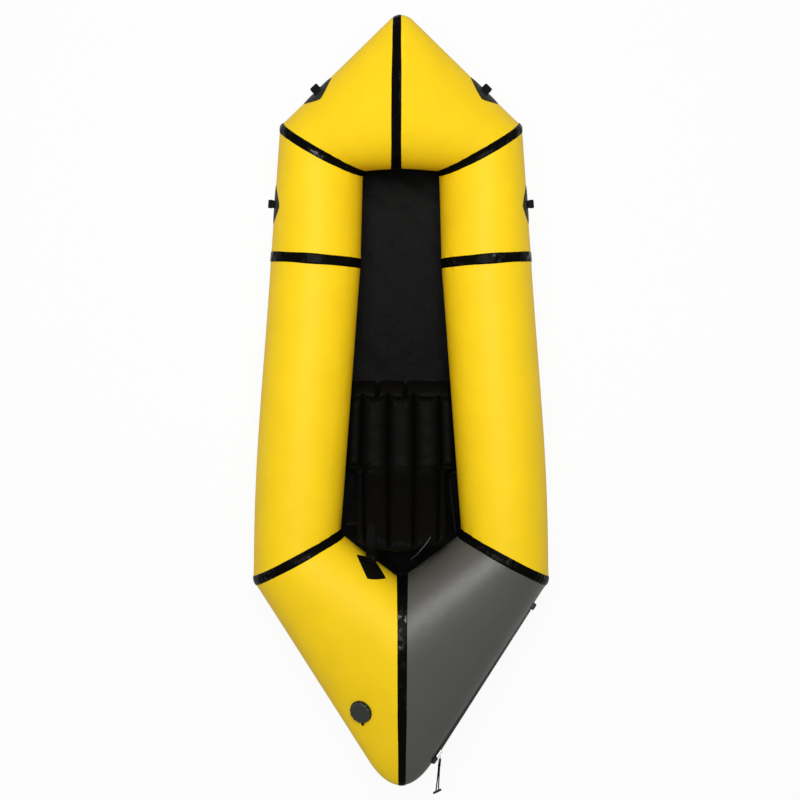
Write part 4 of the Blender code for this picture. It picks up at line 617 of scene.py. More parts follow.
@dataclass(frozen=True)
class Metal(Finish):
    """Bare metal with fine scratches."""

    def nodes(self, shader: Shader) -> None:
        """Scratches in relief and gloss."""
        place = shader.place()
        shader.feed("Base Color", self.tinted(shader, 0.004, 0.15))
        shader.feed("Metallic", 1.0)
        marks = shader.noise(place, 0.002, 4.0, 0.7)
        shader.feed("Roughness", (marks * 0.25 + (self.roughness - 0.12)).clipped(0.05, 1.0))
        shader.relief((marks, 0.00008))


YELLOW = CoatedFabric("yellow_hull_nylon", (1.0, 0.67, 0.010), 0.5, shine=0.15)
GREY = CoatedFabric("grey_hull_nylon", (0.084, 0.082, 0.073), 0.43, shine=0.5)
# the floor's colour falls to 0.22 of itself towards the stern, a painted shade
FLOOR_CLOTH = CoatedFabric("black_floor_nylon", (0.0066, 0.0064, 0.0060), 0.45, ripple=0.0016, shine=0.035, painted_stern_shade=0.22)
SEAT_CLOTH = CoatedFabric("black_seat_nylon", (0.0034, 0.0033, 0.0030), 0.5, ripple=0.0006, shine=0.032)
PATCH_CLOTH = CoatedFabric("patch_nylon", (0.022, 0.025, 0.020), 0.5, ripple=0.0003, shine=0.1)
SEAT_PATCH_CLOTH = CoatedFabric("seat_patch_nylon", (0.0045, 0.0052, 0.0032), 0.5, ripple=0.0003, shine=0.03)
ZIP_CLOTH = CoatedFabric("zip_tape_coating", (0.012, 0.012, 0.012), 0.4, ripple=0.0002, shine=0.15)
TAPE = SeamTape("black_seam_tape", (0.0030, 0.0030, 0.0026), 0.26)
BLACK_WEBBING = Webbing("black_webbing", (0.011, 0.011, 0.011), 0.8)
STRAP_WEBBING = Webbing("strap_webbing", (0.0034, 0.0034, 0.0032), 0.8)
# the starboard strap's webbing, with a painted highlight along one edge
HIGHLIGHTED_WEBBING = Webbing("highlighted_strap_webbing", (0.0030, 0.0030, 0.0029), 0.8, edge=0.26)
STITCHED_WEBBING = Moulded("anchor_webbing", (0.004, 0.004, 0.004), 0.8, grain=0.0016, depth=0.0003, shine=0.04)
PULL_STRING = Moulded("pull_cord_sheath", (0.003, 0.003, 0.003), 0.75, grain=0.0008, depth=0.0002, shine=0.1)
BLACK_PLASTIC = Moulded("black_plastic", (0.014, 0.014, 0.0145), 0.42)
SEAT_PLASTIC = Moulded("seat_plastic", (0.003, 0.003, 0.003), 0.5, shine=0.05)
VALVE_PLASTIC = Moulded("valve_plastic", (0.030, 0.033, 0.026), 0.42, shine=0.5)
BLACK_RUBBER = Moulded("black_rubber", (0.005, 0.005, 0.005), 0.6, grain=0.0012, depth=0.0001, shine=0.06)
HOSE = Moulded("black_hose", (0.0035, 0.0035, 0.0033), 0.45, depth=0.00003, shine=0.05)
SLIDER_METAL = Metal("slider_metal", (0.82, 0.8, 0.76), 0.3)
SPRING_STEEL = Metal("spring_steel", (0.6, 0.6, 0.6), 0.25)


def declared(piece: bpy.types.Object, finish: Finish, body: Body | None, slot: str, *nodes: str) -> bpy.types.Object:
    """Dresses a piece, attaches it to its CAD body and hides the CAD nodes that it stands for.

    Args:
        piece: The piece.
        finish: Its finish.
        body: The CAD body that it rides on, or None for a piece that is left unattached.
        slot: Its material slot; not used.
        nodes: The CAD nodes that it stands for.

    Returns:
        The piece.
    """
    finish.dress(piece)
    if body is not None:
        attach(piece, body.value)
    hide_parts(*nodes)
    return piece


@dataclass(frozen=True)
class CornerSeam:
    """A seam where two straight tubes meet: an ellipse that leans aft at its top."""

    inner: tuple[float, float]
    outer: tuple[float, float]
    half_height: float
    lean_deg: float = 0.0

    def ring(self, turn: Array) -> Array:
        """Middle + cos(turn) half width + sin(turn) half height, up the leaning axis."""
        inner, outer = np.array([*self.inner, 0.0]), np.array([*self.outer, 0.0])
        half = (outer - inner) / 2
        across = half / np.linalg.norm(half)
        up = UP + math.tan(math.radians(self.lean_deg)) * np.array([across[1], -across[0], 0.0])
        middle = (inner + outer) / 2 + UP * (HULL_BOTTOM + self.half_height)
        turn = turn[..., None]
        return middle + np.cos(turn) * half + self.half_height * np.sin(turn) * up


@dataclass(frozen=True)
class ClosingSeam:
    """The seam in the centre plane: an egg whose small end points to the bow or the stern."""

    middle_y: float
    middle_z: float
    half_length: float
    half_height: float
    tilt_deg: float
    taper: float
    end: int
    reach: float
    nose_width: float

    def ring(self, turn: Array, reach: float) -> Array:
        """Middle + half length cos(turn) out + half height (1 - taper cos) sin(turn) up.

        Args:
            turn: Angles from the tip, over the top.
            reach: How far the tip is drawn out.

        Returns:
            The seam's points.
        """
        tilt = math.radians(self.tilt_deg)
        out = np.array([0.0, self.end * math.cos(tilt), math.sin(tilt)])
        up = np.array([0.0, -self.end * math.sin(tilt), math.cos(tilt)])
        turn = turn[..., None]
        cosine = np.cos(turn)
        swell = self.half_height * (1 - self.taper * cosine) * np.sin(turn)
        middle = np.array([0.0, self.middle_y, self.middle_z])
        return middle + (self.half_length * cosine + reach * np.clip(cosine, 0, 1) ** 2) * out + swell * up


class Part(Enum):
    """The four panels of one half of the hull, from the stern to the bow."""

    STERN = "stern"
    SIDE = "side"
    FORE = "fore"
    BOW = "bow"


@dataclass
class HullForm:
    """The starboard half of the inflated skin, as a function of a panel's share and a turn.

    The turn is 0 on the outermost line, a quarter turn on top and half a turn in the well. Between
    two seams the skin is straight, blunted towards its nose and gathered in small puckers beside the
    seams; only the side panel is slightly fuller in its middle.
    """

    stern: ClosingSeam = ClosingSeam(-0.838, 0.167, 0.302, 0.135, 5.0, 0.45, -1, 0.075, 0.095)
    stern_corner: CornerSeam = CornerSeam((0.181, -0.400), (0.441, -0.540), 0.134)
    side_seam: CornerSeam = CornerSeam((0.1215, 0.409), (0.389, 0.429), 0.134, 3.7)
    bow_corner: CornerSeam = CornerSeam((0.1155, 0.687), (0.360, 0.822), 0.130, 14.0)
    bow: ClosingSeam = ClosingSeam(0.895, 0.253, 0.218, 0.140, 20.0, 0.35, 1, 0.018, 0.030)
    fullness: float = 0.010
    pucker: float = 0.0011
    pucker_reach: float = 0.022

    def ends(self, part: Part, turn: Array) -> tuple[Array, Array]:
        """The two seams of a panel at given turns."""
        stern, bow = self.stern.ring(turn, self.stern.reach), self.bow.ring(turn, self.bow.reach)
        corner, side, fore = (seam.ring(turn) for seam in (self.stern_corner, self.side_seam, self.bow_corner))
        return {
            Part.STERN: (stern, corner), Part.SIDE: (corner, side), Part.FORE: (side, fore), Part.BOW: (fore, bow),
        }[part]

    def straight(self, part: Part, share: Array, turn: Array) -> Array:
        """The panel before its puckers.

        Near a nose the straight line turns by the power (1 - distance / width)^p of the reach
        between the drawn-out seam and the real one.

        Args:
            part: The panel.
            share: Shares of its length, from its aft seam.
            turn: Angles round the tube.

        Returns:
            Points, with one more axis than the arguments.
        """
        share, turn = np.broadcast_arrays(np.asarray(share, float), np.asarray(turn, float))
        start, end = self.ends(part, turn)
        at = share[..., None]
        points = start + (end - start) * at
        if part not in (Part.STERN, Part.BOW):
            return points
        seam = self.stern if part is Part.STERN else self.bow
        corner, other = (start, end) if part is Part.STERN else (end, start)
        near = at if part is Part.STERN else 1 - at
        nose = seam.ring(turn, 0.0)
        reach = np.linalg.norm(nose - corner, axis=-1, keepdims=True)
        spread = np.abs(other[..., :1] - corner[..., :1])
        blunt = seam.nose_width / np.maximum(spread, seam.nose_width)
        fall = np.abs(other[..., 1:2] - corner[..., 1:2])
        power = np.clip(blunt * fall / np.maximum(reach, 0.0003), 1.0, 4.0)
        return points + (nose - corner) * np.clip(1 - near / blunt, 0, 1) ** power

    def normals(self, part: Part, share: Array, turn: Array) -> Array:
        """Outward normals: the cross product of small steps along the panel and round it."""
        step = 1e-4
        low = np.clip(share, step, 1 - step)
        along = self.straight(part, low + step, turn) - self.straight(part, low - step, turn)
        around = self.straight(part, low, turn + step) - self.straight(part, low, turn - step)
        return unit(np.cross(along, around))

    def length(self, part: Part, turn: Array) -> Array:
        """The distance between a panel's seams at given turns."""
        start, end = self.ends(part, np.asarray(turn, float))
        return np.linalg.norm(end - start, axis=-1)

    def around(self, part: Part, share: float, turn: float) -> float:
        """Metres round the tube for each radian of turn."""
        step = 1e-3
        pair = self.straight(part, np.array([share, share]), np.array([turn - step, turn + step]))
        return float(np.linalg.norm(pair[1] - pair[0]) / (2 * step))

    def skin(self, part: Part, share: Array, turn: Array, height: Array | float = 0.0) -> Array:
        """The finished skin, or a surface at a height over it.

        Args:
            part: The panel.
            share: Shares of its length.
            turn: Angles round the tube.
            height: Height over the skin.

        Returns:
            Points, with one more axis than the arguments.
        """
        share, turn = np.broadcast_arrays(np.asarray(share, float), np.asarray(turn, float))
        length = self.length(part, turn)
        edge = np.minimum(share, 1 - share) * length
        if part is Part.STERN:
            edge = np.where(share < 0.5, edge + 0.01, edge)
        seed = {Part.STERN: 3, Part.SIDE: 5, Part.FORE: 7, Part.BOW: 9}[part]
        waves = Ripples(seed, 0.014, 0.045, count=18).height(turn * TUBE_RADIUS, share * 0.0)
        gather = self.pucker * waves * np.exp(-((edge / self.pucker_reach) ** 2)) * smooth(0.0, 0.008, edge)
        swell = self.fullness if part is Part.SIDE else 0.0
        swell = swell * np.sin(math.pi * (1 - np.clip(share, 0, 1)) ** 1.5) * np.maximum(np.cos(turn), 0.0)
        rise = np.asarray(height) + gather + swell
        return self.straight(part, share, turn) + self.normals(part, share, turn) * rise[..., None]

    def tangents(self, part: Part, share: float, turn: float) -> tuple[Array, Array, Array, Array]:
        """A point of the skin with its directions along the panel, round the tube and outwards."""
        at = np.array([share]), np.array([turn])
        point, out = self.skin(part, *at)[0], self.normals(part, *at)[0]
        start, end = self.ends(part, at[1])
        along = unit((end - start)[0] - out * ((end - start)[0] @ out))
        return point, along, np.cross(out, along), out

    def share_from(self, part: Part, turn: float, distance: float) -> float:
        """The share of a panel at a distance from its aft seam."""
        return float(distance / self.length(part, np.array([turn]))[0])


@dataclass
class HullPanels:
    """The eight coated panels of the hull."""

    form: HullForm
    wall: float = 0.001
    turns: int = 132
    rows: int = 56

    def build(self) -> list[bpy.types.Object]:
        """Makes, dresses and places every panel.

        Returns:
            The panels.
        """
        made = []
        turn = np.linspace(0.0, 2 * math.pi, self.turns, endpoint=False)[None, :]
        share = (0.5 - 0.5 * np.cos(np.linspace(0.0, math.pi, self.rows)))[:, None]
        for part in Part:
            outer = self.form.skin(part, share, turn)
            inner = self.form.skin(part, share, turn, -self.wall)
            if part in (Part.STERN, Part.BOW):
                for grid in (outer, inner):
                    grid[..., 0] = np.maximum(grid[..., 0], 0.0)
            for hand in Hand:
                name = f"{part.value}_panel_{hand.value}"
                piece = shell(f"{name}_skin", hand.turned(outer), hand.turned(inner), wrap=True)
                grey = part is Part.STERN and hand is Hand.STARBOARD
                finish, slot = (GREY, "hull_fabric_grey") if grey else (YELLOW, "hull_fabric_yellow")
                made.append(declared(piece, finish, Body.HULL, slot, name))
        return made


@dataclass
class SeamTapes:
    """The tapes over the hull's seams and over the floor's edge."""

    form: HullForm
    width: float = 0.030
    thickness: float = 0.0009
    edge_height: float = 0.0007
    rest: float = 0.0001
    columns: int = 220
    places: int = 11

    def across(self) -> Array:
        """Distances from the seam over the tape's width, as a column."""
        return np.linspace(-self.width / 2, self.width / 2, self.places)[:, None]

    def band(self, before: Part | None, after: Part, seed: int, offset: float = 0.0, spread: float = 1.0) -> Array:
        """The tape's middle surface over a seam between two panels, or in the centre plane.

        Args:
            before: The panel aft of the seam, or None for a seam in the centre plane.
            after: The panel after it, or the one that is mirrored over the centre plane.
            seed: Seed of its wavering edges.
            offset: How far its middle lies to starboard of the seam on top.
            spread: Its width as a multiple of the others'.

        Returns:
            Grid of points across and round the seam.
        """
        turn = np.linspace(0.0, 2 * math.pi, self.columns, endpoint=False)[None, :]
        waver = 1 + 0.035 * Ripples(seed, 0.05, 0.2).height(turn * 0.13, turn * 0.0)
        side = self.across() * waver * spread + offset * smooth(-0.8, 0.1, np.sin(turn))
        away = np.abs(side)
        at_end = after is Part.BOW and before is None
        share = away / self.form.length(after, turn)
        later = self.form.skin(after, 1 - share if at_end else share, turn)
        if before is None:
            earlier = Hand.PORT.turned(later)
        else:
            earlier = self.form.skin(before, 1 - away / self.form.length(before, turn), turn)
        return softened(np.where(side[..., None] < 0, earlier, later), 2)

    def laid(self, node: str, grid: Array, hand: Hand) -> bpy.types.Object:
        """A tape over a surface: thick in its middle, thin at its edges.

        Args:
            node: The CAD node that it stands for.
            grid: Its middle surface.
            hand: The side of the boat.

        Returns:
            The tape.
        """
        normal = normals_of(grid, wrap=True)
        centre = grid.mean(axis=(0, 1))
        if (normal * (grid - centre)).sum() < 0:
            normal = -normal
        share = np.linspace(-1.0, 1.0, grid.shape[0])[:, None, None]
        outer = grid + normal * (self.edge_height + self.thickness * (1 - share**6))
        inner = grid + normal * self.rest
        piece = shell(f"{node}_strip", hand.turned(outer), hand.turned(inner), wrap=True)
        return declared(piece, TAPE, Body.HULL, "seam_tape_black", node)

    def build(self) -> None:
        """Makes the seam tapes and the tape over the floor's edge."""
        seams = [
            ("stern_corner_tape", Part.STERN, Part.SIDE), ("side_tape", Part.SIDE, Part.FORE),
            ("bow_corner_tape", Part.FORE, Part.BOW),
        ]
        for number, (name, before, after) in enumerate(seams):
            for hand in Hand:
                self.laid(f"{name}_{hand.value}", self.band(before, after, 40 + number), hand)
        middle = [("stern_centre_tape", Part.STERN, 0.005, 1.35), ("bow_centre_tape", Part.BOW, -0.016, 1.12)]
        for name, part, offset, spread in middle:
            self.laid(name, self.band(None, part, 50, offset, spread), Hand.STARBOARD)


@dataclass
class FloorCloth:
    """The floor: flat in the well, with its edge wrapped up the outside of the tubes."""

    form: HullForm
    wrap: float = 3 * FACET
    lift: float = 0.0014
    thickness: float = 0.0018
    tape_width: float = 0.030
    tape_top: float = 0.0012
    tape_bottom: float = 0.0004
    wrapped: int = 26
    flat: int = 120
    rows_each: int = 26

    def rows(self, height: float, turn_low: float, turn_high: float, count: int) -> Array:
        """Rows of the starboard half from the stern to the bow, at a height over the skin.

        Args:
            height: Height over the skin.
            turn_low: The turn of the first column.
            turn_high: The turn of the last column.
            count: How many columns.

        Returns:
            Grid of points.
        """
        turn = np.linspace(turn_low, turn_high, count)[None, :]
        grids = []
        for part in Part:
            share = np.linspace(0.0, 1.0, self.rows_each)[:, None]
            grids.append(self.form.skin(part, share if part is Part.BOW else share[:-1], turn, height))
        return softened(np.concatenate(grids), 1)

    def build(self) -> None:
        """Makes the floor and the tape over its edge."""
        side = self.rows(self.lift, LOWEST_TURN + self.wrap, LOWEST_TURN - self.wrap, 2 * self.wrapped)
        side[..., 2] = np.minimum.accumulate(side[..., 2], axis=1)
        side[..., 0] = np.maximum(side[..., 0], 0.0)
        inmost, share = side[:, -1], np.linspace(0.0, 1.0, self.flat)[None, 1:-1, None]
        middle = inmost[:, None] + (Hand.PORT.turned(inmost) - inmost)[:, None] * share
        under = np.concatenate([side, middle, Hand.PORT.turned(side)[:, ::-1]], axis=1)
        x, y = under[..., 0], under[..., 1]
        inside = smooth(0.30, 0.16, np.abs(x)) * smooth(-0.75, -0.55, y) * smooth(0.95, 0.75, y)
        under[..., 2] += inside * self.creases(x, y)
        normal = normals_of(under)
        if normal[under.shape[0] // 2, under.shape[1] // 2, 2] > 0:
            normal = -normal
        lower = under + normal * self.thickness
        lower[..., 2] = np.maximum(lower[..., 2], 0.0)
        declared(shell("floor_cloth", lower, under), FLOOR_CLOTH, Body.HULL, "fabric_black", "floor_sheet")
        self.edge_tape()

    def creases(self, x: Array, y: Array) -> Array:
        """Heights of the floor's creases in the well: long soft ones, a dimple and two folds."""
        slack = 0.0011 * Ripples(21, 0.05, 0.16, 0.9, 1.2).height(x, y)
        folds = 0.0016 * np.exp(-(((y - 0.335 + 0.05 * x) / 0.006) ** 2)) * np.exp(-((x / 0.09) ** 2))
        dimple = -0.0022 * np.exp(-(((y - 0.605 - 0.35 * np.abs(x)) / 0.010) ** 2) - ((x / 0.03) ** 2))
        slant = 0.0014 * np.exp(-(((y - 0.16 - 0.8 * x) / 0.010) ** 2)) * np.exp(-((x / 0.11) ** 2))
        return slack + folds + dimple + slant + 0.0024

    def edge_tape(self) -> None:
        """The tape over the floor's edge: a closed band round the boat."""
        edge = LOWEST_TURN + self.wrap
        half = self.tape_width / 2 / TUBE_RADIUS
        grids = []
        for height in (self.tape_top, self.tape_bottom):
            side = self.rows(self.lift + self.thickness + height, edge + half, edge - half, 9)
            grids.append(np.concatenate([side, Hand.PORT.turned(side)[-2:0:-1]]).transpose(1, 0, 2))
        piece = shell("floor_edge_strip", *grids, wrap=True)
        declared(piece, TAPE, Body.HULL, "seam_tape_black", "floor_edge_tape")


@dataclass
class PatchForm:
    """A welded patch: a rounded diamond draped on the hull."""

    form: HullForm
    part: Part
    turn: float
    from_seam: float
    half_length: float = 0.0575
    half_height: float = 0.050
    rounding: float = 1.35
    thickness: float = 0.0010
    rest: float = 0.0006
    finish: Finish = PATCH_CLOTH

    def draped(self, node: str, hand: Hand) -> bpy.types.Object:
        """Makes the patch.

        The outline is the superellipse |a/A|^p + |b/B|^p = 1; rings shrink from it to the middle,
        and the top falls to the edge by the eighth power of the ring's share.

        Args:
            node: The CAD node that it stands for.
            hand: The side of the boat.

        Returns:
            The patch.
        """
        share = self.form.share_from(self.part, self.turn, self.from_seam)
        length = float(self.form.length(self.part, np.array([self.turn]))[0])
        around = self.form.around(self.part, share, self.turn)
        spoke = np.linspace(0.0, 2 * math.pi, 96, endpoint=False)[None, :]
        ring = np.linspace(0.0, 1.0, 14)[:, None] ** 0.7
        power = 2 / self.rounding
        along = self.half_length * ring * np.sign(np.cos(spoke)) * np.abs(np.cos(spoke)) ** power
        over = self.half_height * ring * np.sign(np.sin(spoke)) * np.abs(np.sin(spoke)) ** power
        places = share + along / length, self.turn + over / around
        weld = 0.0004 * np.exp(-(((ring - 0.9) / 0.03) ** 2))
        height = self.rest + self.thickness * (1 - ring**8) - weld + 0.0002
        outer = self.form.skin(self.part, *places, height + 0.0 * along)
        inner = self.form.skin(self.part, *places, 0.0 * along - 0.0003)
        piece = shell(f"{node}_cloth", hand.turned(outer), hand.turned(inner), wrap=True, weld=True)
        return declared(piece, self.finish, Body.HULL, "fabric_black", node)


@dataclass
class TieDowns:
    """Four tie-down points, each a patch with a webbing loop stitched through it."""

    form: HullForm
    turn: float = FACET
    opening: float = 0.018
    rise: float = 0.020
    foot: float = 0.012
    length: float = 0.023

    def loop(self, node: str, patch: PatchForm, hand: Hand) -> bpy.types.Object:
        """A loop: a foot, half a circle and a foot, carried out from the skin.

        Args:
            node: The CAD node that it stands for.
            patch: The patch that it stands on.
            hand: The side of the boat.

        Returns:
            The loop.
        """
        half = self.opening / 2 + WEBBING_THICKNESS / 2
        centre = self.rise - WEBBING_THICKNESS / 2 - half
        turns = np.linspace(math.pi, 0.0, 25)
        arch = np.stack([half * np.cos(turns), centre + half * np.sin(turns)], axis=1)
        lie = WEBBING_THICKNESS / 2 + 0.0018
        feet = np.array([[-half - self.foot, lie], [-half - self.foot / 2, lie], [-half - 0.0012, lie + 0.0006]])
        plan = np.concatenate([feet, arch[1:-1], feet[::-1] * np.array([-1.0, 1.0])])
        share = self.form.share_from(patch.part, patch.turn, patch.from_seam)
        point, along, around, out = self.form.tangents(patch.part, share, patch.turn)
        knots = point + plan[:, :1] * around + plan[:, 1:] * out
        turns_at = patch.turn + plan[:, 0] / self.form.around(patch.part, share, patch.turn)
        foot = self.form.skin(patch.part, np.full(len(plan), share), turns_at, plan[:, 1])
        lying = smooth(0.008, 0.003, plan[:, 1])[:, None]
        path = curve_through(knots + (foot - knots) * lying, 60)
        piece = flat_band(f"{node}_webbing", hand.turned(path), hand.turned(along), self.length, WEBBING_THICKNESS)
        return declared(piece, BLACK_WEBBING, Body.HULL, "webbing_black", node)

    def build(self) -> None:
        """Makes the four patches and their loops."""
        places = {"bow": (Part.BOW, 0.160), "side": (Part.FORE, 0.156)}
        for word, (part, from_seam) in places.items():
            for hand in Hand:
                patch = PatchForm(self.form, part, self.turn, from_seam)
                patch.draped(f"tiedown_patch_{word}_{hand.value}", hand)
                self.loop(f"tiedown_loop_{word}_{hand.value}", patch, hand)


def spans(edges: tuple[float, ...], u: Array) -> tuple[NDArray[np.int64], Array, Array]:
    """The span between edges that each place lies in, its place there from -1 to 1, and the span's width."""
    at = np.array(edges)
    span = np.clip(np.searchsorted(at, u, side="right") - 1, 0, len(at) - 2)
    wide = at[span + 1] - at[span]
    return span, np.clip(2 * (u - at[span]) / wide - 1, -1.0, 1.0), wide


@dataclass
class Seat:
    """The seat: one inflated mattress that folds up into the backrest, and its skirt to the floor.

    A place on it is (u, s): u from -1 to 1 across, between whose welds five chambers swell, and s
    metres from its front edge. Its middle line is flat, then an arc at the hinge, then the backrest.
    """

    front_y: float = 0.009
    hinge_y: float = -0.214
    middle_z: float = 0.0321
    base_halves: tuple[float, float] = (0.160, 0.168)
    back_halves: tuple[float, float] = (0.141, 0.128)
    base_edges: tuple[float, ...] = (-1.0, -0.745, -0.245, 0.245, 0.745, 1.0)
    back_edges: tuple[float, ...] = (-1.0, -0.83, -0.28, 0.28, 0.83, 1.0)
    darts: tuple[float, ...] = (0.0, 0.014, 0.018, 0.018, 0.009, 0.0)
    back_length: float = 0.317
    thickness: tuple[float, float] = (0.058, 0.049)
    bend: float = 0.110
    back_angle: float = math.radians(45.0)
    head_drop: float = 0.040
    lip: float = 0.0012
    front_round: float = 0.022
    head_round: float = 0.030
    valley_share: float = 0.12
    fold_width: float = 0.0032
    least_height: float = 0.0042
    skirt_half: float = 0.150
    skirt_folds: tuple[float, float] = (-0.074, 0.012)
    skirt_depth: float = 0.049
    skirt_thickness: float = 0.0011
    columns_each: int = 40
    rows: int = 330
    folds: tuple[tuple[float, float, float, float, float], ...] = (
        (-0.140, 0.206, 0.30, 0.046, 0.0065), (-0.136, 0.226, 0.62, 0.052, 0.0060),
        (-0.132, 0.240, 0.42, 0.044, 0.0050), (-0.140, 0.252, 1.05, 0.050, 0.0055),
        (-0.118, 0.216, -0.10, 0.040, 0.0040), (-0.108, 0.244, 0.25, 0.030, 0.0036),
        (0.134, 0.208, 2.95, 0.050, 0.0065), (0.128, 0.219, 2.75, 0.036, 0.0045),
        (0.140, 0.245, 2.30, 0.042, 0.0055), (0.130, 0.262, 1.95, 0.036, 0.0040),
    )

    @property
    def base_length(self) -> float:
        """The distance from the front edge to the hinge."""
        return self.front_y - self.hinge_y

    @property
    def reach(self) -> float:
        """Half the length of the bend, measured along its tangents."""
        return self.bend * math.tan(self.back_angle / 2)

    def columns(self) -> Array:
        """Places across, closer together towards every weld."""
        step = 0.5 - 0.5 * np.cos(np.arange(self.columns_each) / self.columns_each * math.pi)
        edges = np.array(self.base_edges)
        inner = edges[:-1, None] + (edges[1:] - edges[:-1])[:, None] * step
        return np.concatenate([inner.ravel(), [1.0]])

    def across(self, u: Array, s: Array) -> Array:
        """Metres from the centre plane, with the narrower backrest after a short shoulder."""
        on_base = np.clip(s / self.base_length, 0, 1)
        on_back = np.clip((s - self.base_length) / self.back_length, 0, 1)
        base = u * (self.base_halves[0] + (self.base_halves[1] - self.base_halves[0]) * on_base)
        back = np.interp(u, self.base_edges, self.back_edges)
        back = back * (self.back_halves[0] + (self.back_halves[1] - self.back_halves[0]) * on_back)
        shoulder = smooth(self.base_length - 0.004, self.base_length + 0.016, s)
        return base + (back - base) * shoulder

    def place(self, x: Array, s: Array, height: Array, shift: Array) -> Array:
        """World places at a height over the middle line.

        Args:
            x: Metres from the centre plane.
            s: Metres from the front edge.
            height: Height over the middle line.
            shift: How far the front's tips are drawn forward.

        Returns:
            Points.
        """
        turned = np.clip((s - self.base_length + self.reach) / (2 * self.reach), 0, 1) * self.back_angle
        flat = np.minimum(s, self.base_length - self.reach)
        up = np.maximum(s - self.base_length - self.reach, 0.0)
        y = self.front_y + shift - flat - self.bend * np.sin(turned) - up * math.cos(self.back_angle)
        z = self.middle_z + self.bend * (1 - np.cos(turned)) + up * math.sin(self.back_angle)
        z = np.where(y > self.front_y, np.minimum(z, self.fall(x, y) + 0.0016), z)
        return np.stack([x + 0.0 * s, y + height * np.sin(turned), z + height * np.cos(turned)], axis=-1)

    def swell(self, u: Array, s: Array) -> Array:
        """How full the mattress is: (1 - |t|^2.6)^0.5 in a chamber, held at a share along its welds."""
        span, t, wide = spans(self.base_edges, u)
        crown = np.sqrt(np.maximum(1 - np.abs(t) ** 2.6, 0.0)) * np.minimum(1.0, wide / 0.5) ** 0.5
        rim = (span == 0) & (t < 0) | (span == len(self.base_edges) - 2) & (t > 0)
        valley = self.valley_share * smooth(0.0, 0.05, s) * smooth(0.0, 0.03, self.head(u) - s)
        return np.where(rim, crown, np.maximum(crown, valley))

    def head(self, u: Array) -> Array:
        """Where the arched head ends, in metres from the front edge."""
        return self.base_length + self.back_length - self.head_drop * u**2

    def dart(self, u: Array) -> Array:
        """How far the front edge is drawn forward: most at the welds, by |t|^2.5 between them."""
        span, t, _ = spans(self.base_edges, u)
        darts = np.array(self.darts)
        return np.where(t < 0, darts[span], darts[span + 1]) * np.abs(t) ** 2.5

    def wrinkles(self, x: Array, s: Array) -> Array:
        """The mattress's wrinkles: gathers at its front, hinge and head, and the folds at the hinge's corners.

        A fold is a ridge of height h and length l that leaves a place (x, s) at an angle a: its
        height is h exp(-(d / 3 mm)^2) times a swell over 0 to l, with d the distance from its line.
        """
        front = Ripples(62, 0.010, 0.030, 0.0, 0.5, 20).height(x, s) * np.exp(-((s / self.front_round) ** 1.5))
        near_head = self.head(x / self.back_halves[1]) - s
        head = Ripples(72, 0.011, 0.034, 0.0, 0.5, 20).height(x, s) * np.exp(-((np.abs(near_head) / 0.026) ** 1.5))
        sides = smooth(0.060, 0.125, np.abs(x))
        hinge = Ripples(61, 0.009, 0.026, 0.5, 1.6, 20).height(np.abs(x), s) * sides
        hinge = hinge * np.exp(-(((s - self.base_length - 0.012) / 0.028) ** 2))
        slack = Ripples(63, 0.03, 0.09, 1.57, 1.2).height(x, s)
        total = 0.0016 * front + 0.0014 * head + 0.0009 * hinge + 0.0004 * slack
        for at_x, at_s, angle, length, height in self.folds:
            run = (x - at_x) * math.cos(angle) + (s - at_s) * math.sin(angle)
            off = (s - at_s) * math.cos(angle) - (x - at_x) * math.sin(angle)
            off = off + 0.12 * run * run / length
            body = smooth(-0.004, 0.008, run) * smooth(length, length * 0.45, run)
            total = total + height * np.exp(-((off / self.fold_width) ** 2)) * body
        return total

    def mattress(self) -> None:
        """The mattress, one piece of cloth work that bends across the hinge."""
        u = self.columns()[None, :]
        along = np.linspace(0.0, 1.0, self.rows)[:, None]
        along = along - 0.75 / (2 * math.pi) * np.sin(2 * math.pi * along)
        u, along = np.broadcast_arrays(u, along)
        late = np.clip((along - 0.55) / 0.45, 0, 1)
        s = along * (self.base_length + self.back_length) - self.head_drop * u**2 * late
        x = self.across(u, s)
        front, head = (
            np.sqrt(np.clip(1 - (1 - np.clip(away / size, 0, 1)) ** 2, 0, 1))
            for away, size in ((s, self.front_round), (self.head(u) - s, self.head_round))
        )
        sides = smooth(0.085, 0.130, np.abs(x))
        pinch = 1 - (0.02 + 0.60 * sides) * np.exp(-(((s - self.base_length) / 0.010) ** 2))
        full = self.swell(u, s) * np.minimum(front, head) * pinch
        whole = self.thickness[0] + (self.thickness[1] - self.thickness[0]) * smooth(0.17, 0.30, s)
        half = self.lip / 2 + (whole - self.lip) / 2 * full
        shift = self.dart(u) * (1 - np.clip(s / 0.045, 0, 1)) ** 2
        wrinkle = self.wrinkles(x, s) * np.clip(full * 3, 0, 1)
        top = self.place(x, s, half + wrinkle, shift)
        low = self.place(x, s, -np.minimum(half, self.middle_z - self.least_height), shift)
        piece = shell("seat_mattress", top, low)
        declared(piece, SEAT_CLOTH, None, "fabric_black", "seat_base", "seat_backrest")
        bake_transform(piece)

    def fall(self, x: Array, y: Array) -> Array:
        """The skirt's height: 1 - d^1.8 down to the floor, puffed between two drawn-in folds."""
        down = np.clip((y - self.front_y) / self.skirt_depth, 0, 1)
        arch = np.sin(math.pi * down)
        _, t, _ = spans((-0.152, *self.skirt_folds, 0.152), x)
        puff = np.sqrt(np.maximum(1 - np.abs(t) ** 4, 0.0)) * arch**0.7
        left, right = self.skirt_folds
        nearest = np.minimum(np.abs(x - left - 0.005 * down), np.abs(x - right - 0.004 * down))
        groove = np.exp(-((nearest / 0.0045) ** 2)) * arch**0.5
        return self.middle_z - 0.0010 - 0.0285 * down**1.8 + 0.008 * puff - 0.012 * groove - 0.004 * arch

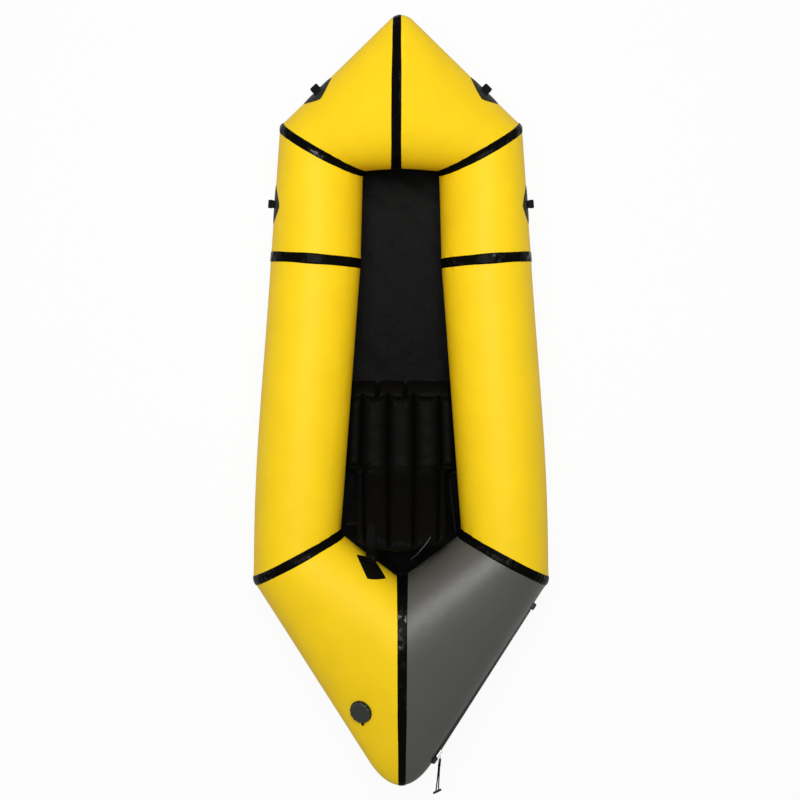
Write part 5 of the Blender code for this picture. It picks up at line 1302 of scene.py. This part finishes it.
    def skirt(self) -> None:
        """The loose cloth from the seat's front down to the floor, drawn in at two folds."""
        down, across = np.broadcast_arrays(np.linspace(0, 1, 56)[:, None], np.linspace(-1, 1, 220)[None, :])
        x = self.skirt_half * across
        y = self.front_y + 0.0006 + self.skirt_depth * down
        left, right = self.skirt_folds
        ends = 0.005 * np.abs(np.sin(math.pi * (x - left) / (right - left))) ** 0.6 * down**2
        fine = Ripples(81, 0.010, 0.03, 0.0, 0.9).height(x, y)
        z = self.fall(x, y) + 0.0007 * fine * np.sin(math.pi * down)
        under = np.stack([x, y + ends - 0.002, z], axis=-1)
        piece = shell("seat_skirt_cloth", under + UP * self.skirt_thickness, under)
        declared(piece, SEAT_CLOTH, Body.HULL, "fabric_black", "seat_front_skirt")

    def build(self) -> None:
        """Makes the mattress and its skirt."""
        self.mattress()
        self.skirt()


@dataclass(frozen=True)
class Stance:
    """Where a buckle stands: its middle, its length's direction, and whether it stands on edge."""

    at: tuple[float, float, float]
    azimuth_deg: float
    rise_deg: float
    on_edge: bool

    def matrix(self) -> Array:
        """Columns: along its length, across it, out of its face, and its middle."""
        azimuth, rise = math.radians(self.azimuth_deg), math.radians(self.rise_deg)
        plan = np.array([math.cos(azimuth), math.sin(azimuth), 0.0])
        along = math.cos(rise) * plan + math.sin(rise) * UP
        face = np.cross(plan, UP) if self.on_edge else math.cos(rise) * UP - math.sin(rise) * plan
        columns = np.stack([along, np.cross(face, along), face, np.array(self.at)], axis=1)
        return np.vstack([columns, [0.0, 0.0, 0.0, 1.0]])

    def woven(self, weave: tuple[tuple[float, float], ...]) -> Array:
        """The points that webbing passes in it, from (along, out of the face) pairs."""
        frame_axes = self.matrix()
        return np.array([frame_axes[:3, 3] + x * frame_axes[:3, 0] + z * frame_axes[:3, 2] for x, z in weave])


@dataclass
class SeatStraps:
    """The backrest's two straps and the patches that their anchors are welded to."""

    form: HullForm
    port_patch: tuple[float, float] = (12 * FACET, 0.1130)
    starboard_patch: tuple[float, float] = (14 * FACET, 0.0760)
    patch_half_length: float = 0.055
    patch_rounding: float = 1.1
    port_x: float = -0.0875
    port_over: tuple[tuple[float, float], ...] = (
        (-0.362, 0.226), (-0.375, 0.2375), (-0.3885, 0.2473), (-0.398, 0.2525), (-0.408, 0.255), (-0.417, 0.2553),
        (-0.429, 0.2504),
    )
    starboard_over: tuple[tuple[float, float, float], ...] = (
        (0.082, -0.386, 0.242), (0.082, -0.390, 0.248), (0.0785, -0.395, 0.2565), (0.073, -0.404, 0.2742),
        (0.0688, -0.411, 0.2835), (0.0625, -0.4217, 0.284), (0.0568, -0.4311, 0.2777), (0.052, -0.4388, 0.2688),
        (0.0482, -0.4438, 0.2575), (0.0453, -0.4475, 0.2456), (0.0372, -0.4572, 0.2093),
    )
    weave: tuple[tuple[float, float], ...] = (
        (0.01475, -0.00315), (0.00965, -0.00315), (0.0025, 0.00315), (-0.00255, 0.00315), (-0.0033, 0.00075),
    )
    port_buckle: Stance = Stance((-0.0875, -0.461, 0.2278), 90.0, 28.2, False)
    starboard_buckle: Stance = Stance((0.0350, -0.467, 0.1865), 58.9, 67.4, True)
    anchor_reach: tuple[float, float] = (0.010, 0.046)

    def strap(self, hand: Hand, over: Array, buckle: Stance, finish: Finish) -> None:
        """A strap, which runs from the backrest at one end to its buckle at the other.

        It leaves the backrest flat. Where the buckle stands on edge, its width turns on the way there
        from X to up the vertical plane of its run, at an even rate over the first half.

        Args:
            hand: The side of the boat.
            over: Its middle line from the backrest towards the buckle.
            buckle: Where its buckle stands.
            finish: Its finish.
        """
        route = np.concatenate([over, buckle.woven(self.weave)])
        path = curve_through(route, 140)
        across = np.broadcast_to([1.0, 0.0, 0.0], path.shape)
        if buckle.on_edge:
            run = distances(path)
            places = np.array([run[np.argmin(np.linalg.norm(path - point, axis=1))] for point in route])
            sewn, lead = places[1], places[len(over) - 1]
            turn = np.clip(2 * (places - sewn) / (lead - sewn), 0.0, 1.0)[:, None]
            aside = np.cross(unit((over[-1] - over[1]) * (1.0, 1.0, 0.0)), UP)
            upright = unit(np.cross(aside, np.gradient(route, axis=0)))
            widths = across[:1] * (1 - turn) + upright * turn
            widths[len(over):] = buckle.matrix()[:3, 1]
            across = unit(np.stack([np.interp(run, places, widths[:, k]) for k in range(3)], axis=1))
        piece = flat_band(f"seat_strap_{hand.value}_webbing", path, across, WEBBING_WIDTH, WEBBING_THICKNESS)
        declared(piece, finish, None, "webbing_black", f"seat_strap_{hand.value}")
        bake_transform(piece)

    def fittings(self) -> None:
        """The starboard buckle, a copy of the port one's mesh, and the doubled webbing that holds it."""
        port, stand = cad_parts["seat_buckle_left"], self.starboard_buckle.matrix()
        mesh = port.data.copy()
        mesh.transform(Matrix(stand) @ Matrix(self.port_buckle.matrix()).inverted() @ port.matrix_world)
        buckle = bpy.data.objects.new("seat_buckle_right_moulding", mesh)
        bpy.context.scene.collection.objects.link(buckle)
        declared(buckle, SEAT_PLASTIC, Body.HULL, "plastic_black", "seat_buckle_right")
        reach = np.linspace(*self.anchor_reach, 30)[:, None]
        anchor = flat_band("seat_strap_anchor_right_webbing", stand[:3, 3] - stand[:3, 0] * reach, stand[:3, 1],
                           WEBBING_WIDTH, 2 * WEBBING_THICKNESS)
        declared(anchor, STRAP_WEBBING, Body.HULL, "webbing_black", "seat_strap_anchor_right")

    def build(self) -> None:
        """Makes the patches, the straps and the starboard fittings."""
        self.fittings()
        for hand, (turn, distance), finish in (
            (Hand.PORT, self.port_patch, SEAT_PATCH_CLOTH), (Hand.STARBOARD, self.starboard_patch, GREY),
        ):
            patch = PatchForm(self.form, Part.STERN, turn, distance, self.patch_half_length,
                              rounding=self.patch_rounding, finish=finish)
            patch.draped(f"seat_patch_{hand.value}", hand)
        port = np.array([(self.port_x, y, z) for y, z in self.port_over])
        self.strap(Hand.PORT, port, self.port_buckle, STRAP_WEBBING)
        # the starboard strap carries the painted edge highlight
        self.strap(Hand.STARBOARD, np.array(self.starboard_over), self.starboard_buckle, HIGHLIGHTED_WEBBING)


@dataclass
class Cords:
    """The two free runs: the tube for topping up by mouth and the zip pull's doubled cord."""

    oral_route: tuple[tuple[float, float, float], ...] = (
        (0.1634, -0.2197, 0.0891), (0.1600, -0.2200, 0.0880), (0.1562, -0.2202, 0.0867),
        (0.1505, -0.2360, 0.0812), (0.1498, -0.2480, 0.0803), (0.1500, -0.2580, 0.0800),
        (0.1514, -0.2780, 0.0808), (0.1543, -0.3080, 0.0843), (0.1614, -0.3680, 0.0948),
    )
    oral_radius: float = 0.004
    pull_radius: float = 0.0019
    pull_route: tuple[tuple[float, float, float], ...] = (
        (0.1150, -1.0590, 0.1981), (0.1166, -1.0600, 0.1984), (0.1163, -1.0650, 0.1988),
        (0.1152, -1.0740, 0.1990), (0.1139, -1.0850, 0.1986), (0.1130, -1.0980, 0.1973),
        (0.1123, -1.1120, 0.1948), (0.1117, -1.1270, 0.1913), (0.1113, -1.1440, 0.1868),
        (0.1108, -1.1560, 0.1828), (0.1095, -1.1605, 0.1815), (0.1058, -1.1612, 0.1811),
        (0.1040, -1.1580, 0.1816), (0.1052, -1.1440, 0.1860), (0.1069, -1.1270, 0.1905),
        (0.1084, -1.1120, 0.1940), (0.1096, -1.0980, 0.1965), (0.1105, -1.0850, 0.1978),
        (0.1116, -1.0740, 0.1982), (0.1122, -1.0660, 0.1980), (0.1130, -1.0615, 0.1980),
        (0.1146, -1.0591, 0.1980),
    )
    knot_at: tuple[float, float, float] = (0.1127, -1.0790, 0.1984)
    toggle_at: tuple[float, float, float] = (0.1073, -1.1605, 0.1815)
    toggle_axis: tuple[float, float, float] = (0.906, 0.423, 0.0)

    def fittings(self) -> bpy.types.Object:
        """The knot in the pull's doubled cord and the toggle at its end.

        Returns:
            The toggle.
        """
        turn = np.linspace(0.0, math.pi, 13)
        sine, cosine = np.sin(turn), np.cos(turn)
        profile = np.stack([0.0040 * sine**0.6 * (1 - 0.18 * np.cos(2 * turn)), -0.0085 * cosine], axis=1)
        lean = unit(np.array([-0.06, -1.0, -0.12]))
        knot = turned("pull_string_knot", profile, 20, np.array(self.knot_at), lean, 0.10)
        declared(knot, PULL_STRING, Body.ZIP_PULL, "webbing_black", "zip_pull_cord")
        profile = np.stack([0.0036 * sine**0.5, -0.0138 * np.sign(cosine) * np.abs(cosine) ** 0.5], axis=1)
        bar = turned("zip_pull_toggle_bar", profile, 24, np.array(self.toggle_at), np.array(self.toggle_axis))
        return declared(bar, BLACK_PLASTIC, Body.ZIP_PULL, "plastic_black", "zip_pull_toggle")

    def run(self, name: str, route: Array, radius: float) -> tuple[bpy.types.Object, float]:
        """A round cord along a route, as a curve of one open spline.

        Args:
            name: The piece's name.
            route: The points that it passes.
            radius: Its radius.

        Returns:
            The curve object and its length.
        """
        path = curve_through(route, 90)
        curve = bpy.data.curves.new(name, "CURVE")
        curve.dimensions = "3D"
        curve.bevel_depth = radius
        curve.bevel_resolution = 5
        curve.use_fill_caps = True
        spline = curve.splines.new("POLY")
        spline.points.add(len(path) - 1)
        spline.points.foreach_set("co", np.c_[path, np.ones(len(path))].astype(np.float32).ravel())
        spline.use_smooth = True
        piece = bpy.data.objects.new(name, curve)
        bpy.context.scene.collection.objects.link(piece)
        return piece, float(distances(path)[-1])

    def build(self) -> None:
        """Makes and declares both."""
        route = np.array(self.oral_route)
        hose, length = self.run("oral_hose", route, self.oral_radius)
        declared(hose, HOSE, Body.HULL, "hose_black", "oral_tube")
        route = np.array(self.pull_route)
        pull, length = self.run("pull_string", route, self.pull_radius)
        declared(pull, PULL_STRING, Body.ZIP_PULL, "webbing_black", "zip_pull_cord")
        self.fittings()
        log.info("free runs made, the last %.3f m long", length)


@dataclass
class Zip:
    """The zip's coated tape, draped on the stern, and its row of moulded teeth."""

    form: HullForm
    turn: float = FACET / 2
    shares: tuple[float, float] = (0.2040, 0.9027)
    half_width: float = 0.017
    thickness: float = 0.0010
    pitch: float = 0.0027

    def tape(self) -> None:
        """The tape, with a raised cord along each side of the teeth."""
        share = np.linspace(*self.shares, 150)[:, None]
        place = np.linspace(-1.0, 1.0, 41)[None, :]
        steps = np.array([self.form.around(Part.STERN, float(s), self.turn) for s in share[:, 0]])[:, None]
        turn = self.turn + place * self.half_width / steps
        bead = 0.0005 * np.exp(-(((np.abs(place) * self.half_width - 0.0065) / 0.0008) ** 2))
        edge = 1 - np.abs(place) ** 10
        top = self.form.skin(Part.STERN, share, turn, 0.0006 + self.thickness * edge + bead)
        low = self.form.skin(Part.STERN, share, turn, -0.0003)
        piece = shell("zip_tape_cloth", top, low)
        declared(piece, ZIP_CLOTH, Body.HULL, "fabric_black", "zip_tape")

    def chain(self) -> tuple[Array, Array, float]:
        """Where the CAD's row of teeth lies.

        Its length, width and height are the principal directions of its vertices, longest first.

        Returns:
            Its low corner on the middle line, its three directions as rows, and its length.
        """
        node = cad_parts["zip_teeth"]
        points = np.array([node.matrix_world @ vertex.co for vertex in node.data.vertices])
        middle = (points.min(axis=0) + points.max(axis=0)) / 2
        axes = np.linalg.svd(points - points.mean(axis=0), full_matrices=False)[2]
        axes[0] *= np.sign(axes[0, 1])
        axes[2] *= np.sign(axes[2, 0])
        axes[1] = np.cross(axes[2], axes[0])
        local = (points - middle) @ axes.T
        low, high = local.min(axis=0), local.max(axis=0)
        corner = middle + np.array([low[0], (low[1] + high[1]) / 2, low[2]]) @ axes
        return corner, axes, float(high[0] - low[0])

    def teeth(self) -> None:
        """Teeth from alternate sides, each a block with a narrower crown, copied as whole arrays."""
        origin, axes, length = self.chain()
        count = int(length / self.pitch)
        corner = np.array([[-1, -1], [1, -1], [1, 1], [-1, 1]], float)
        rings = []
        for height, size in ((-0.0004, 1.0), (0.0012, 1.0), (0.0022, 0.82), (0.0027, 0.5)):
            ring = corner * np.array([0.0011, 0.0033]) * size
            rings.append(np.concatenate([ring, np.full((4, 1), height)], axis=1))
        tooth = np.concatenate(rings)
        index = np.arange(16).reshape(4, 4)
        sides = grid_quads(closed(index))[:, ::-1]
        quads = np.concatenate([sides, index[-1:], index[:1, ::-1]])
        number = np.arange(count)
        shift = np.zeros((count, 1, 3))
        shift[:, 0, 0] = (number + 0.5) * self.pitch
        shift[:, 0, 1] = np.where(number % 2 == 0, -0.0007, 0.0007)
        local = (tooth[None] + shift).reshape(-1, 3)
        faces = (quads[None] + 16 * number[:, None, None]).reshape(-1, 4)
        piece = mesh_piece("zip_teeth_row", origin + local @ axes, faces)
        declared(piece, BLACK_PLASTIC, Body.HULL, "plastic_black", "zip_teeth")

    def build(self) -> None:
        """Makes the tape and the teeth."""
        self.tape()
        self.teeth()


@dataclass
class Carried:
    """The rigid CAD nodes that stay, with their finishes."""

    finishes: dict[str, Finish] = field(default_factory=lambda: {
        "oral_tube_boot": BLACK_RUBBER, "oral_valve_body": SEAT_PLASTIC, "oral_valve_tip": SEAT_PLASTIC,
        "seat_buckle_left": SEAT_PLASTIC,
        "seat_valve_body": SEAT_PLASTIC, "seat_valve_cap": SEAT_PLASTIC,
        "valve_barrel": VALVE_PLASTIC, "valve_cap": VALVE_PLASTIC, "valve_poppet": VALVE_PLASTIC,
        "valve_seal": BLACK_RUBBER, "valve_tether": BLACK_RUBBER, "valve_spring": SPRING_STEEL,
        "zip_docking_end": BLACK_PLASTIC, "zip_end_stop": BLACK_PLASTIC, "zip_slider": SLIDER_METAL,
        "zip_pull_ring": SLIDER_METAL,
        "seat_strap_anchor_left": STITCHED_WEBBING,
    })

    def build(self) -> None:
        """Gives each node its finish."""
        for name, finish in self.finishes.items():
            finish.dress(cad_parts[name])


@dataclass
class Studio:
    """A pale floor, one soft light, an even sky and the camera straight overhead."""

    camera_height: float = 4.2
    camera_x: float = -0.0031
    lens: float = 60.975
    ambient: float = 0.33
    key_watts: float = 117.0
    key_place: tuple[float, float, float] = (-0.12, 0.9, 3.9)
    key_size: float = 2.2
    floor_half: float = 40.0
    floor_white: float = 0.93

    def rays(self, shader: Shader) -> Field:
        """One for the rays that a camera sees, directly or through something clear.

        Args:
            shader: The shader that asks.

        Returns:
            The share, 0 or 1.
        """
        camera = shader.node("ShaderNodeLightPath", output="Is Camera Ray")
        through = shader.node("ShaderNodeLightPath", output="Is Transmission Ray")
        return (camera + through).clipped(0.0, 1.0)

    def floor(self) -> None:
        """The pale floor, which the camera sees as nearly white and which keeps a faint shadow."""
        corners = np.array([[-1, -1, 0], [1, -1, 0], [1, 1, 0], [-1, 1, 0]], float) * self.floor_half
        piece = mesh_piece("studio_floor", corners, np.array([[0, 1, 2, 3]]))
        shader = Shader(bpy.data.materials.new("studio_floor"))
        shader.feed("Base Color", (0.82, 0.82, 0.82, 1.0))
        shader.feed("Roughness", 0.9)
        seen = self.rays(shader)
        white = shader.node("ShaderNodeEmission", None, {"Color": (1, 1, 1, 1), "Strength": 1.0})
        inputs = {0: seen * self.floor_white, 1: Field(shader, shader.base.outputs[0]), 2: white}
        mixed = shader.node("ShaderNodeMixShader", None, inputs)
        output = shader.tree.nodes["Material Output"]
        shader.tree.links.new(mixed.socket, output.inputs["Surface"])
        piece.data.materials.append(shader.owner)

    def lamp(self) -> None:
        """The square soft light, aimed at the middle of the boat."""
        light = bpy.data.lights.new("overhead_softbox", "AREA")
        light.size = self.key_size
        light.energy = self.key_watts
        lamp = bpy.data.objects.new("overhead_softbox", light)
        lamp.location = self.key_place
        lamp.rotation_euler = (-Vector(self.key_place)).to_track_quat("-Z", "Y").to_euler()
        bpy.context.scene.collection.objects.link(lamp)

    def build(self) -> None:
        """Makes the floor, the light, the world and the camera."""
        self.floor()
        self.lamp()
        world = bpy.data.worlds.new("studio")
        bpy.context.scene.world = world
        shader = Shader(world, "Background")
        shader.feed("Color", (1.0, 1.0, 1.0, 1.0))
        shader.feed("Strength", self.rays(shader) * (1 - self.ambient) + self.ambient)
        lens = bpy.data.cameras.new("overhead")
        lens.lens = self.lens
        lens.sensor_width = 36.0
        lens.clip_end = 50.0
        camera = bpy.data.objects.new("overhead", lens)
        camera.location = (self.camera_x, 0.0, self.camera_height)
        bpy.context.scene.collection.objects.link(camera)
        bpy.context.scene.camera = camera
        bpy.context.scene.view_settings.view_transform = "Standard"


def main() -> None:
    """Builds every sub-assembly in order."""
    logging.basicConfig(level=logging.INFO, format="%(name)s: %(message)s")
    Studio().build()
    Cords().build()
    form = HullForm()
    Carried().build()
    for piece in HullPanels(form).build():
        log.info("%s has %d faces", piece.name, len(piece.data.polygons))
    SeamTapes(form).build()
    FloorCloth(form).build()
    TieDowns(form).build()
    Seat().build()
    SeatStraps(form).build()
    Zip(form).build()


if __name__ == "__main__":
    main()
